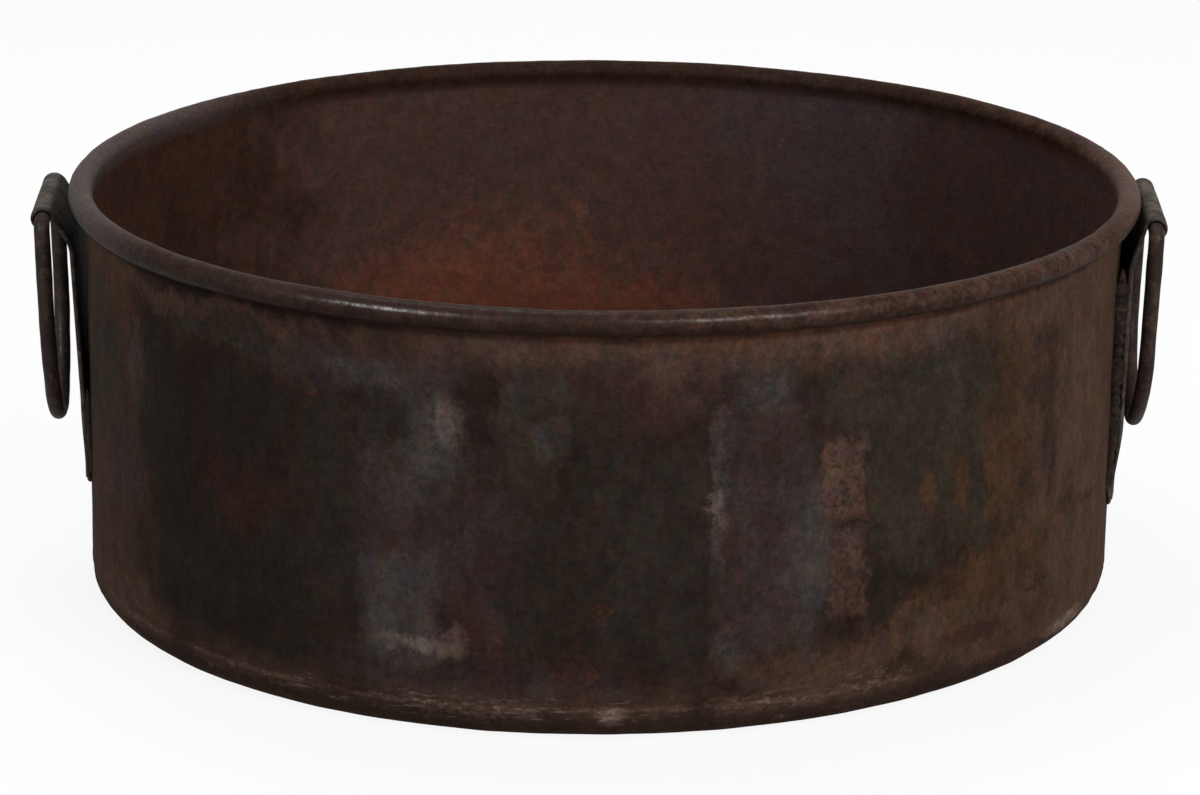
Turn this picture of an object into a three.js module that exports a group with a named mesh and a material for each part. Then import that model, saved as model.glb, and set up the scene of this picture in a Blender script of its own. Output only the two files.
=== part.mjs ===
// An old iron cooking pot: a low round pan of sheet iron with a wired rim and two drop handles.
// Millimetres, +Z up. The origin is the centre of the flat underside, and +X points to the right handle.
import * as THREE from 'three';

// Clearance between pieces that touch
const GAP = 0.3;

// Pan
const POT_HEIGHT = 293.2;
const WALL_TOP_R = 375; // outside of the wall under the rim
const WALL_FOOT_R = 371.5; // outside of the wall at the knuckle
const WALL_T = 3;
const BASE_T = 4;
const KNUCKLE_R = 14; // outside radius of the bend between base and wall

// Rolled rim
const RIM_WIRE_R = 5;
const WIRE_CLEARANCE = 0.5;
const RIM_OVERHANG = 3.5; // from the wall's outside face out to the centre of the wire
const RIM_NECK = 12; // height over which the wall leans in to meet the roll
const ROLL_START = 200; // degrees round the wire at which the wall runs into the roll

// Weld between base and wall, and weld that closes the wall
const BASE_WELD_HEIGHT = 5;
const BASE_WELD_PROUD = 0.8;
const BASE_FLANGE = 2; // straight stretch of the base above its knuckle
const SEAM_AZIMUTH = 16; // degrees, behind the right handle
const SEAM_WELD_WIDTH = 6;

// How the hand-made pan differs from a true round one
const RIM_SHIFT = 5.8; // the rim's centre stands this far towards +X
const RIM_DROP = 11; // the rim is this much lower at the right than at the left
const RIM_OVAL_COS = -4.7; // swing of the rim's radius with the cosine of twice the azimuth
const RIM_OVAL_SIN = 5.4; // and with its sine
const BASE_OVAL_COS = -2.3;
const BASE_OVAL_SIN = 1.2;

// Drop handles: a flat strap welded to the wall, rolled outward at its top into an eye for the ring
const ROD_R = 5.6;
const ROD_CLEARANCE = 0.4;
const EYE_T = 2.4; // thickness of the strap where it is rolled into the eye
const EYE_LIP_ANGLE = 55; // degrees below level at which the rolled end stops
const STRAP_T = 4;
const STRAP_CORNER_R = 8;
const FOOT_HAMMERED = 60; // height over which the strap's foot is beaten round to the wall
const KNEE_BEND = 6; // length of the bend on each side of the knee
const RING_DROP = 155; // from the eye's axis down to the middle of the rod at the bottom
const RING_ELBOW_R = 8; // bend at the ends of the bar in the eye
const RING_SIDE_PLAY = 2.4; // between the end of the eye and the leg of the ring
const WELD_LEG = 4.5; // reach of a strap's weld along the wall
const WELD_CLIMB = 1.6; // how far a bead climbs the edge of the strap
const WELD_LUMP = 0.7; // how much a bead swells and shrinks along its length
const WELD_LUMP_PITCH = 11;

// The left handle. The eye's axis stands off from the furthest reach of the wall behind the strap.
// The knee is the bend where the strap leans out to its eye.
const LEFT_STRAP_WIDTH = 111;
const LEFT_STRAP_LENGTH = 192.6; // from the eye's axis down to the foot
const LEFT_EYE_BELOW_RIM = 18.6;
const LEFT_EYE_STANDOFF = 25.6;
const LEFT_KNEE_DROP = 20; // from the eye's axis down to the knee
const LEFT_KNEE_STANDOFF = 6; // between the knee and the wall
const LEFT_WELD_HEIGHT = 60;
const LEFT_RING_LEG = 59; // straight part of the ring, below which it narrows

// The right handle, made by hand too and not quite alike
const RIGHT_STRAP_WIDTH = 126;
const RIGHT_STRAP_LENGTH = 201.6;
const RIGHT_EYE_BELOW_RIM = 23.6;
const RIGHT_EYE_STANDOFF = 18.5;
const RIGHT_KNEE_DROP = 29;
const RIGHT_KNEE_STANDOFF = 0.5;
const RIGHT_WELD_HEIGHT = 165;
const RIGHT_RING_LEG = 90;

// Angles are in degrees. The bottom of a ring is a half ellipse, or more of a point with more pinch,
// and the ring hangs a little off plumb. back is the sense of azimuth in which the pot's rear lies.
const HANDLES = [
  {
    side: 'left',
    azimuth: 182.5,
    back: -1,
    width: LEFT_STRAP_WIDTH,
    strapLength: LEFT_STRAP_LENGTH,
    eyeBelowRim: LEFT_EYE_BELOW_RIM,
    eyeStandoff: LEFT_EYE_STANDOFF,
    kneeDrop: LEFT_KNEE_DROP,
    kneeStandoff: LEFT_KNEE_STANDOFF,
    weldHeight: LEFT_WELD_HEIGHT,
    ringLeg: LEFT_RING_LEG,
    ringPinch: 0,
    ringLean: 1,
  },
  {
    side: 'right',
    azimuth: -2.6,
    back: 1,
    width: RIGHT_STRAP_WIDTH,
    strapLength: RIGHT_STRAP_LENGTH,
    eyeBelowRim: RIGHT_EYE_BELOW_RIM,
    eyeStandoff: RIGHT_EYE_STANDOFF,
    kneeDrop: RIGHT_KNEE_DROP,
    kneeStandoff: RIGHT_KNEE_STANDOFF,
    weldHeight: RIGHT_WELD_HEIGHT,
    ringLeg: RIGHT_RING_LEG,
    ringPinch: 0.4,
    ringLean: 2.4,
  },
];

// Fineness of the round shapes
const TURN_STEPS = 80;
const ROLL_STEPS = 12;
const WIRE_SIDES = 10;
const KNUCKLE_STEPS = 5;
const EYE_STEPS = 12;
const CORNER_STEPS = 4;
const KNEE_STEPS = 4;
const FOOT_STEPS = 4;
const ACROSS_STEPS = 8;
const ELBOW_STEPS = 5;
const RING_BEND_STEPS = 22;
const ROD_SIDES = 14;
const BEAD_STATIONS = 17;
const REACH_SAMPLES = 12;
const FACE_ROUNDS = 4; // tries it takes to find a point of the hand-made wall

// Sizes that follow from the ones above
const RIM_ROLL_R = RIM_WIRE_R + WIRE_CLEARANCE + WALL_T;
const RIM_CENTRE = { r: WALL_TOP_R + RIM_OVERHANG, z: POT_HEIGHT - RIM_ROLL_R };
const SEAM_Z = KNUCKLE_R + BASE_FLANGE + GAP + BASE_WELD_HEIGHT / 2;
const EYE_INNER_R = ROD_R + ROD_CLEARANCE;

const radians = THREE.MathUtils.degToRad;

// Outside radius of the true round wall at height z
function wallOutside(z) {
  return THREE.MathUtils.lerp(WALL_FOOT_R, WALL_TOP_R, z / POT_HEIGHT);
}

// Moves a point of the true round pan to where the hand-made pan has it: the section turns slightly
// oval, and shifts and tips more the higher the point is. The underside stays flat.
function handShaped(point) {
  const rise = point.z / POT_HEIGHT;
  const twice = 2 * Math.atan2(point.y, point.x);
  const ovalCos = THREE.MathUtils.lerp(BASE_OVAL_COS, RIM_OVAL_COS, rise);
  const ovalSin = THREE.MathUtils.lerp(BASE_OVAL_SIN, RIM_OVAL_SIN, rise);
  const swell = 1 + (ovalCos * Math.cos(twice) + ovalSin * Math.sin(twice)) / WALL_TOP_R;
  const x = point.x * swell + RIM_SHIFT * rise;
  const tip = (RIM_DROP * x * rise) / (2 * WALL_TOP_R);
  return new THREE.Vector3(x, point.y * swell, point.z - tip);
}

// A point of the round pan from radius, azimuth in degrees and height
function onPan(r, azimuth, z) {
  return new THREE.Vector3(r * Math.cos(radians(azimuth)), r * Math.sin(radians(azimuth)), z);
}

// Points of an arc in a plane, angles in degrees, both ends included
function arc(centre, radius, from, to, steps) {
  return Array.from({ length: steps + 1 }, (_, i) => {
    const angle = radians(THREE.MathUtils.lerp(from, to, i / steps));
    return new THREE.Vector2(centre.x + radius * Math.cos(angle), centre.y + radius * Math.sin(angle));
  });
}

// Directions square to a line of points, to its left, averaged at each bend
function lineNormals(line) {
  return line.map((_, i) => {
    const before = line[Math.max(i - 1, 0)];
    const after = line[Math.min(i + 1, line.length - 1)];
    const along = after.clone().sub(before).normalize();
    return new THREE.Vector2(-along.y, along.x);
  });
}

// Outline of a sheet of one thickness that follows a centre line
function sheetOutline(line, thickness) {
  const normals = lineNormals(line);
  const left = line.map((p, i) => p.clone().addScaledVector(normals[i], thickness / 2));
  const right = line.map((p, i) => p.clone().addScaledVector(normals[i], -thickness / 2));
  return [...left, ...right.reverse()];
}

// Volume inside a closed mesh, negative when its faces point inwards
function signedVolume(positions, faces) {
  const [a, b, c] = [new THREE.Vector3(), new THREE.Vector3(), new THREE.Vector3()];
  let sum = 0;
  for (const [i, j, k] of faces) {
    sum += a.copy(positions[i]).dot(b.copy(positions[j]).cross(c.copy(positions[k])));
  }
  return sum / 6;
}

// Triangles across a section that is two equal rows of points, the second running back
function acrossRows(count) {
  const faces = [];
  for (let j = 0; j < count / 2 - 1; j += 1) {
    const [a, b, c, d] = [j, j + 1, count - 2 - j, count - 1 - j];
    faces.push([a, b, c], [a, c, d]);
  }
  return faces;
}

// Skins a run of sections into one closed solid. Every section has equally many points. A run that
// closes on itself has no ends. Any other run has sections of two rows, and a flat end at each side.
function loft(sections, closesOnItself = false) {
  const count = sections[0].length;
  const positions = sections.flat();
  const faces = [];
  const spans = closesOnItself ? sections.length : sections.length - 1;
  for (let i = 0; i < spans; i += 1) {
    const here = i * count;
    const next = ((i + 1) % sections.length) * count;
    for (let j = 0; j < count; j += 1) {
      const k = (j + 1) % count;
      faces.push([here + j, next + j, next + k], [here + j, next + k, here + k]);
    }
  }
  if (!closesOnItself) {
    const last = positions.length - count;
    for (const [a, b, c] of acrossRows(count)) {
      faces.push([a, b, c], [last + a, last + c, last + b]);
    }
  }
  if (signedVolume(positions, faces) < 0) faces.forEach((face) => face.reverse());
  const geometry = new THREE.BufferGeometry().setFromPoints(positions);
  geometry.setIndex(faces.flat());
  return geometry;
}

// Turns an outline of radius and height once round the pan's axis, then gives it the hand-made shape
function turned(outline) {
  const geometry = new THREE.LatheGeometry(outline, TURN_STEPS);
  geometry.rotateX(Math.PI / 2).rotateZ(radians(SEAM_AZIMUTH));
  const place = geometry.getAttribute('position');
  for (let i = 0; i < place.count; i += 1) {
    const point = handShaped(new THREE.Vector3().fromBufferAttribute(place, i));
    place.setXYZ(i, point.x, point.y, point.z);
  }
  return geometry;
}

// Centre line of the wall's sheet: up the wall, in at the neck, then outward round the wire
function wallLine() {
  const foot = SEAM_Z + BASE_WELD_HEIGHT / 2 + GAP;
  const neck = RIM_CENTRE.z - RIM_NECK;
  const rollR = RIM_ROLL_R - WALL_T / 2;
  const centre = new THREE.Vector2(RIM_CENTRE.r, RIM_CENTRE.z);
  // The rolled edge stops short of the wall by the sheet's thickness and the gap
  const edgeR = wallOutside(neck) + WALL_T / 2 + GAP;
  const rollEnd = -Math.acos((edgeR - centre.x) / rollR) * THREE.MathUtils.RAD2DEG;
  return [
    new THREE.Vector2(wallOutside(foot) - WALL_T / 2, foot),
    new THREE.Vector2(wallOutside(neck) - WALL_T / 2, neck),
    ...arc(centre, rollR, ROLL_START, rollEnd, ROLL_STEPS),
  ];
}

// A band of the wall's outline between two azimuths in degrees
function wallBand(from, to, steps) {
  const outline = sheetOutline(wallLine(), WALL_T);
  const sections = Array.from({ length: steps + 1 }, (_, i) => {
    const azimuth = THREE.MathUtils.lerp(from, to, i / steps);
    return outline.map((p) => handShaped(onPan(p.x, azimuth, p.y)));
  });
  return loft(sections);
}

// Half the angle of the seam's weld, and the angle of the gap beside it
const SEAM_HALF_ANGLE = THREE.MathUtils.radToDeg(SEAM_WELD_WIDTH / 2 / WALL_TOP_R);
const SEAM_GAP_ANGLE = THREE.MathUtils.radToDeg(GAP / WALL_FOOT_R);

function wall() {
  const half = SEAM_HALF_ANGLE + SEAM_GAP_ANGLE;
  return wallBand(SEAM_AZIMUTH + half, SEAM_AZIMUTH + 360 - half, TURN_STEPS);
}

function wallSeamWeld() {
  return wallBand(SEAM_AZIMUTH - SEAM_HALF_ANGLE, SEAM_AZIMUTH + SEAM_HALF_ANGLE, 2);
}

function rimWire() {
  return turned(arc(new THREE.Vector2(RIM_CENTRE.r, RIM_CENTRE.z), RIM_WIRE_R, 0, 360, WIRE_SIDES));
}

// The base is a dish: a flat disc, a round knuckle and a short flange that meets the weld
function basePan() {
  const top = KNUCKLE_R + BASE_FLANGE;
  const outside = wallOutside(top);
  const centre = new THREE.Vector2(outside - KNUCKLE_R, KNUCKLE_R);
  return turned([
    new THREE.Vector2(0, 0),
    ...arc(centre, KNUCKLE_R, -90, 0, KNUCKLE_STEPS),
    new THREE.Vector2(outside, top),
    new THREE.Vector2(outside - BASE_T, top),
    ...arc(centre, KNUCKLE_R - BASE_T, 0, -90, KNUCKLE_STEPS),
    new THREE.Vector2(0, BASE_T),
  ]);
}

// The base's weld is a flat lens, a little proud of the wall on both sides
function baseWeld() {
  const half = BASE_WELD_HEIGHT / 2;
  const outside = wallOutside(SEAM_Z);
  const inside = outside - BASE_T;
  return turned([
    new THREE.Vector2(outside - WALL_T / 2, SEAM_Z - half),
    new THREE.Vector2(outside, SEAM_Z - half),
    new THREE.Vector2(outside + BASE_WELD_PROUD, SEAM_Z),
    new THREE.Vector2(outside, SEAM_Z + half),
    new THREE.Vector2(inside, SEAM_Z + half),
    new THREE.Vector2(inside - BASE_WELD_PROUD, SEAM_Z),
    new THREE.Vector2(inside, SEAM_Z - half),
    new THREE.Vector2(outside - WALL_T / 2, SEAM_Z - half),
  ]);
}

// A point beside a handle: s runs along the eye towards the back of the pot, n straight out, z up
function besideHandle(handle, s, n, z) {
  const angle = radians(handle.azimuth);
  const sideways = s * handle.back;
  return new THREE.Vector3(
    n * Math.cos(angle) - sideways * Math.sin(angle),
    n * Math.sin(angle) + sideways * Math.cos(angle),
    z,
  );
}

function eyeHeight(handle) {
  return POT_HEIGHT - handle.eyeBelowRim;
}

function strapFoot(handle) {
  return eyeHeight(handle) - handle.strapLength;
}

// How far out the pan's outside face lies, at a sideways place and a height beside a handle. The
// point of the round pan that the hand-made shape moves there is found by a few tries.
function wallFace(handle, s, z) {
  const out = new THREE.Vector3(Math.cos(radians(handle.azimuth)), Math.sin(radians(handle.azimuth)), 0);
  const toBack = new THREE.Vector3(-out.y, out.x, 0).multiplyScalar(handle.back);
  let [sideways, height] = [s, z];
  let point = new THREE.Vector3();
  for (let i = 0; i < FACE_ROUNDS; i += 1) {
    const r = wallOutside(height);
    const offset = THREE.MathUtils.radToDeg(Math.asin(sideways / r));
    point = handShaped(onPan(r, handle.azimuth + handle.back * offset, height));
    sideways += s - point.dot(toBack);
    height += z - point.z;
  }
  return point.dot(out);
}

// The furthest that the wall reaches anywhere behind the flat strap, at one height
function wallReach(handle, z) {
  const half = handle.width / 2;
  const samples = Array.from({ length: REACH_SAMPLES + 1 }, (_, i) => {
    return wallFace(handle, THREE.MathUtils.lerp(-half, half, i / REACH_SAMPLES), z);
  });
  return Math.max(...samples);
}

// Distance of the eye's axis from the pot's axis. The wall is straight from foot to eye, so it
// reaches furthest at one of the two.
function eyeReach(handle) {
  const reach = Math.max(wallReach(handle, strapFoot(handle)), wallReach(handle, eyeHeight(handle)));
  return reach + handle.eyeStandoff;
}

// Distance of the strap's middle plane from the pot's axis, up to its knee: on the wall at the foot,
// then standing off more and more
function strapReach(handle, z) {
  const flat = strapFoot(handle) + FOOT_HAMMERED;
  const knee = eyeHeight(handle) - handle.kneeDrop;
  const rise = THREE.MathUtils.clamp((z - flat) / (knee - flat), 0, 1);
  return wallReach(handle, z) + GAP + STRAP_T / 2 + handle.kneeStandoff * rise;
}

// How far the strap's foot bends back from its flat plane to follow the round wall
function footBow(handle, s, z) {
  const foot = strapFoot(handle);
  const fade = 1 - THREE.MathUtils.smoothstep(z, foot, foot + FOOT_HAMMERED);
  return fade * (wallFace(handle, s, z) - wallReach(handle, z));
}

// Stations of the strap from its foot to the end of its roll: place n, z, thickness and half width
function strapStations(handle) {
  const half = handle.width / 2;
  const foot = strapFoot(handle);
  const eye = new THREE.Vector2(eyeReach(handle), eyeHeight(handle));
  const knee = new THREE.Vector2(0, eye.y - handle.kneeDrop);
  knee.x = strapReach(handle, knee.y);
  const onWall = (z, halfWidth) => ({
    place: new THREE.Vector2(strapReach(handle, z), z), thickness: STRAP_T, halfWidth,
  });

  // Rounded corners at the foot, then the stretch that is beaten to the wall
  const corners = arc(new THREE.Vector2(0, 0), STRAP_CORNER_R, 0, 90, CORNER_STEPS).map((p) => {
    return onWall(foot + STRAP_CORNER_R - p.x, half - STRAP_CORNER_R + p.y);
  });
  const hammered = Array.from({ length: FOOT_STEPS }, (_, i) => {
    const rise = THREE.MathUtils.lerp(STRAP_CORNER_R, FOOT_HAMMERED, (i + 1) / FOOT_STEPS);
    return onWall(foot + rise, half);
  });

  // The strap leaves the knee along the line that just touches the roll on its wall side
  const rollR = EYE_INNER_R + EYE_T / 2;
  const toEye = eye.clone().sub(knee);
  const lean = Math.atan2(toEye.y, toEye.x) + Math.asin(rollR / toEye.length());
  const below = new THREE.Vector2(strapReach(handle, knee.y - KNEE_BEND), knee.y - KNEE_BEND);
  const leaning = new THREE.Vector2(Math.cos(lean), Math.sin(lean));
  const above = knee.clone().addScaledVector(leaning, KNEE_BEND);
  const bend = new THREE.QuadraticBezierCurve(below, knee, above).getPoints(KNEE_STEPS);
  const knees = bend.map((place) => ({ place, thickness: STRAP_T, halfWidth: half }));

  // The roll goes over the top of the rod and down its outer side
  const touch = THREE.MathUtils.radToDeg(lean) + 90;
  const roll = arc(eye, rollR, touch, -EYE_LIP_ANGLE, EYE_STEPS);
  const rolls = roll.map((place) => ({ place, thickness: EYE_T, halfWidth: half }));
  return [...corners, ...hammered, ...knees, ...rolls];
}

function strap(handle) {
  const stations = strapStations(handle);
  const normals = lineNormals(stations.map((station) => station.place));
  const sections = stations.map(({ place, thickness, halfWidth }, i) => {
    const across = Array.from({ length: ACROSS_STEPS + 1 }, (_, j) => {
      return THREE.MathUtils.lerp(-halfWidth, halfWidth, j / ACROSS_STEPS);
    });
    const row = (offset) => across.map((s) => {
      const p = place.clone().addScaledVector(normals[i], offset);
      return besideHandle(handle, s, p.x + footBow(handle, s, place.y), p.y);
    });
    return [...row(-thickness / 2), ...row(thickness / 2).reverse()];
  });
  return loft(sections);
}

// Swell of a weld bead at a distance along it: two waves of unlike length, so no lump repeats
function lump(along) {
  const turn = (2 * Math.PI * along) / WELD_LUMP_PITCH;
  return WELD_LUMP * (0.6 * Math.sin(turn) + 0.4 * Math.sin(1.7 * turn + 1));
}

// Bead in the corner between the wall and one upright edge of the strap. end is -1 at the front edge
// and 1 at the rear edge.
function uprightWeld(handle, end) {
  const inside = handle.width / 2 + GAP;
  const low = strapFoot(handle) + STRAP_CORNER_R;
  const sections = Array.from({ length: BEAD_STATIONS }, (_, i) => {
    const z = low + (handle.weldHeight * i) / (BEAD_STATIONS - 1);
    const outside = inside + WELD_LEG + lump(z);
    const wallAt = (s) => wallFace(handle, end * s, z) + GAP;
    const strapBack = strapReach(handle, z) + footBow(handle, end * inside, z) - STRAP_T / 2;
    const crest = strapBack + WELD_CLIMB + lump(z);
    return [
      [outside, wallAt(outside)],
      [(outside + inside) / 2 + WELD_LUMP, (wallAt(outside) + crest) / 2 + WELD_LUMP],
      [inside, crest],
      [inside, wallAt(inside)],
    ].map(([s, n]) => besideHandle(handle, end * s, n, z));
  });
  return loft(sections);
}

// Bead under the strap's foot
function bottomWeld(handle) {
  const half = handle.width / 2 - STRAP_CORNER_R;
  const top = strapFoot(handle) - GAP;
  const sections = Array.from({ length: BEAD_STATIONS }, (_, i) => {
    const s = THREE.MathUtils.lerp(-half, half, i / (BEAD_STATIONS - 1));
    const low = top - WELD_LEG - lump(s);
    const wallAt = (z) => wallFace(handle, s, z) + GAP;
    const crest = wallAt(top) + STRAP_T - WELD_LUMP + lump(s);
    return [
      [wallAt(low), low],
      [(wallAt(low) + crest) / 2 + WELD_LUMP, (low + top) / 2 - WELD_LUMP],
      [crest, top],
      [wallAt(top), top],
    ].map(([n, z]) => besideHandle(handle, s, n, z));
  });
  return loft(sections);
}

// Stations round the ring's centre line: sideways place, distance below the eye's axis, and heading.
// The bar in the eye runs straight from the last station to the first.
function ringStations(handle) {
  const half = handle.width / 2 + RING_SIDE_PLAY + ROD_R;
  const depth = RING_DROP - handle.ringLeg;
  const pinch = handle.ringPinch;
  const elbow = (side) => arc(new THREE.Vector2(0, 0), RING_ELBOW_R, 0, 90, ELBOW_STEPS).map((p) => ({
    s: side * (half - RING_ELBOW_R + p.y),
    drop: RING_ELBOW_R - p.x,
    heading: side * Math.atan2(p.y, p.x),
  }));
  const bend = Array.from({ length: RING_BEND_STEPS + 1 }, (_, i) => {
    const turn = (Math.PI * i) / RING_BEND_STEPS;
    const [cos, sin] = [Math.cos(turn), Math.sin(turn)];
    const sideways = -sin * (1 - pinch * sin * sin) - 2 * pinch * sin * cos * cos;
    return {
      s: half * cos * (1 - pinch * sin * sin),
      drop: handle.ringLeg + depth * sin,
      heading: Math.atan2(depth * cos, half * sideways),
    };
  });
  return [...elbow(1), ...bend, ...elbow(-1).reverse()];
}

function ring(handle) {
  const lean = radians(handle.ringLean);
  const eye = new THREE.Vector2(eyeReach(handle), eyeHeight(handle));
  const sections = ringStations(handle).map(({ s, drop, heading }) => {
    return Array.from({ length: ROD_SIDES }, (_, j) => {
      const turn = (2 * Math.PI * j) / ROD_SIDES;
      const across = ROD_R * Math.cos(turn);
      const out = ROD_R * Math.sin(turn);
      const down = drop + across * Math.cos(heading);
      return besideHandle(
        handle,
        s - across * Math.sin(heading),
        eye.x - down * Math.sin(lean) + out * Math.cos(lean),
        eye.y - down * Math.cos(lean) - out * Math.sin(lean),
      );
    });
  });
  return loft(sections, true);
}

// Finishes, from the smoked grey of the wall to the warmer brown of the handles
const FINISHES = {
  wall: { color: 0x3b2f28, roughness: 0.62, metalness: 0.45 },
  base: { color: 0x3a2a22, roughness: 0.7, metalness: 0.4 },
  weld: { color: 0x4a382c, roughness: 0.66, metalness: 0.45 },
  strap: { color: 0x40352e, roughness: 0.6, metalness: 0.5 },
  rod: { color: 0x33271f, roughness: 0.5, metalness: 0.55 },
};

const pot = new THREE.Group();

function add(name, geometry, finish) {
  const mesh = new THREE.Mesh(geometry, new THREE.MeshStandardMaterial(FINISHES[finish]));
  mesh.name = name;
  pot.add(mesh);
}

add('wall', wall(), 'wall');
add('wall_seam_weld', wallSeamWeld(), 'weld');
add('rim_wire', rimWire(), 'rod');
add('base_pan', basePan(), 'base');
add('base_weld', baseWeld(), 'weld');
for (const handle of HANDLES) {
  add(`${handle.side}_strap`, strap(handle), 'strap');
  add(`${handle.side}_front_weld`, uprightWeld(handle, -1), 'weld');
  add(`${handle.side}_rear_weld`, uprightWeld(handle, 1), 'weld');
  add(`${handle.side}_bottom_weld`, bottomWeld(handle), 'weld');
  add(`${handle.side}_ring`, ring(handle), 'rod');
}

export default pot;
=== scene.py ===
# %% [markdown]
# # An old iron cooking pot
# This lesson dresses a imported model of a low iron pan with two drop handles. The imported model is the
# fixed frame: it says where every piece is. We lay finer surfaces over it, worked out with numpy, and
# give them finishes built from shader nodes.

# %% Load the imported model
import math

import bpy
import numpy as np
from mathutils import Matrix


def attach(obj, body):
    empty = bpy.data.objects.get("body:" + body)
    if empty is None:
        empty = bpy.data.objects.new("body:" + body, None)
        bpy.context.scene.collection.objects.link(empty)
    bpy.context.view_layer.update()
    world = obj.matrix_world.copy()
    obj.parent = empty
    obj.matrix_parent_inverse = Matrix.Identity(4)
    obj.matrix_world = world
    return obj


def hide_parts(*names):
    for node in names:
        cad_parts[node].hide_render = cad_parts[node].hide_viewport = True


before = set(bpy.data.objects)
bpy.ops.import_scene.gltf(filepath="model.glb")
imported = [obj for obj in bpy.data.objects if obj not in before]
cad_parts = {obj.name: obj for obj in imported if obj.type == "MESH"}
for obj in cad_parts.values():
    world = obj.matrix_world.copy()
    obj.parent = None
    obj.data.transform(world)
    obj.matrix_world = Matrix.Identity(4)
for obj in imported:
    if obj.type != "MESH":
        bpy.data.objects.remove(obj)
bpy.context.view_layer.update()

print("nodes:", sorted(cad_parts))

# %% [markdown]
# ## Sizes
# These are the sizes of the real pot, in millimetres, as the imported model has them. Blender works in
# metres, so points are worked out in millimetres and scaled once, when a mesh is made.

# %% Sizes of the pan
MM = 0.001
POT_HEIGHT = 293.2
WALL_TOP_R = 375.0
WALL_FOOT_R = 371.5
WALL_T = 3.0
BASE_T = 4.0
KNUCKLE_R = 14.0
RIM_WIRE_R = 5.0
WIRE_CLEARANCE = 0.5
RIM_OVERHANG = 3.5
RIM_NECK = 12.0
ROLL_START = 200.0
BASE_WELD_HEIGHT = 5.0
BASE_FLANGE = 2.0
GAP = 0.3
SEAM_AZIMUTH = 16.0
SEAM_WELD_WIDTH = 6.0
RIM_SHIFT = 5.8
RIM_DROP = 11.0
RIM_OVAL = (-4.7, 5.4)
BASE_OVAL = (-2.3, 1.2)
RIM_ROLL_R = RIM_WIRE_R + WIRE_CLEARANCE + WALL_T
RIM_CENTRE = (WALL_TOP_R + RIM_OVERHANG, POT_HEIGHT - RIM_ROLL_R)
BASE_SEAM_Z = KNUCKLE_R + BASE_FLANGE + GAP + BASE_WELD_HEIGHT / 2

# %% Sizes of the handles
ROD_R = 5.6
EYE_INNER_R = 6.0
EYE_T = 2.4
EYE_LIP_ANGLE = 55.0
STRAP_T = 4.0
STRAP_CORNER_R = 8.0
FOOT_HAMMERED = 60.0
KNEE_BEND = 6.0
RING_DROP = 155.0
RING_ELBOW_R = 8.0
RING_SIDE_PLAY = 2.4
HANDLES = {
    "left": dict(azimuth=182.5, back=-1, width=111.0, length=192.6, eye_below_rim=18.6,
                 eye_standoff=25.6, knee_drop=20.0, knee_standoff=6.0, weld_height=60.0,
                 ring_leg=59.0, pinch=0.0, lean=1.0),
    "right": dict(azimuth=-2.6, back=1, width=126.0, length=201.6, eye_below_rim=23.6,
                  eye_standoff=18.5, knee_drop=29.0, knee_standoff=0.5, weld_height=165.0,
                  ring_leg=90.0, pinch=0.4, lean=2.4),
}
print("rim rolled to", 2 * RIM_ROLL_R, "mm thick")

# %% [markdown]
# ## Meshes from arrays
# Each piece is a stack of closed loops of points, such as the rings of a turned bowl or the sections
# of a bar. One function skins any such stack, so a piece is only ever a formula for its points. The
# last steps of that function make the faces point outwards, whichever way round the loops were.

# %% A skin over a stack of loops
def skin(loops, ends):
    """Quads join each loop of a (loops, points, 3) array to the next. ends says how the stack stops:
    "joined" runs the last loop into the first, "fan" closes an end to the middle of its loop, and
    "rows" closes a flat end by pairing its first half of points with its second half."""
    count, size = loops.shape[:2]
    vertices = loops.reshape(-1, 3)
    spans = count if ends == "joined" else count - 1
    row, col = np.meshgrid(np.arange(spans), np.arange(size), indexing="ij")
    after, beside = (row + 1) % count, (col + 1) % size
    quads = np.stack([row * size + col, after * size + col, after * size + beside,
                      row * size + beside], -1).reshape(-1, 4)
    triangles = np.zeros((0, 3), int)
    if ends == "fan":
        middles = np.stack([loops[0].mean(0), loops[-1].mean(0)])
        low, high = len(vertices), len(vertices) + 1
        vertices = np.vstack([vertices, middles])
        point = np.arange(size)
        turn = (point + 1) % size
        last = (count - 1) * size
        triangles = np.vstack([
            np.stack([np.full(size, low), point, turn], -1),
            np.stack([np.full(size, high), last + turn, last + point], -1),
        ])
    if ends == "rows":
        j = np.arange(size // 2 - 1)
        cap = np.stack([j, j + 1, size - 2 - j, size - 1 - j], -1)
        quads = np.vstack([quads, cap, cap[:, ::-1] + (count - 1) * size])
    halves = np.vstack([quads[:, :3], quads[:, [0, 2, 3]], triangles])
    a, b, c = (vertices[halves[:, i]] for i in range(3))
    if np.einsum("ij,ij->", a, np.cross(b, c)) < 0:
        quads, triangles = quads[:, ::-1], triangles[:, ::-1]
    return vertices, quads, triangles


# %% A Blender object from a skin
def add_object(name, data):
    added = bpy.data.objects.new(name, data)
    bpy.context.scene.collection.objects.link(added)
    return added


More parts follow.
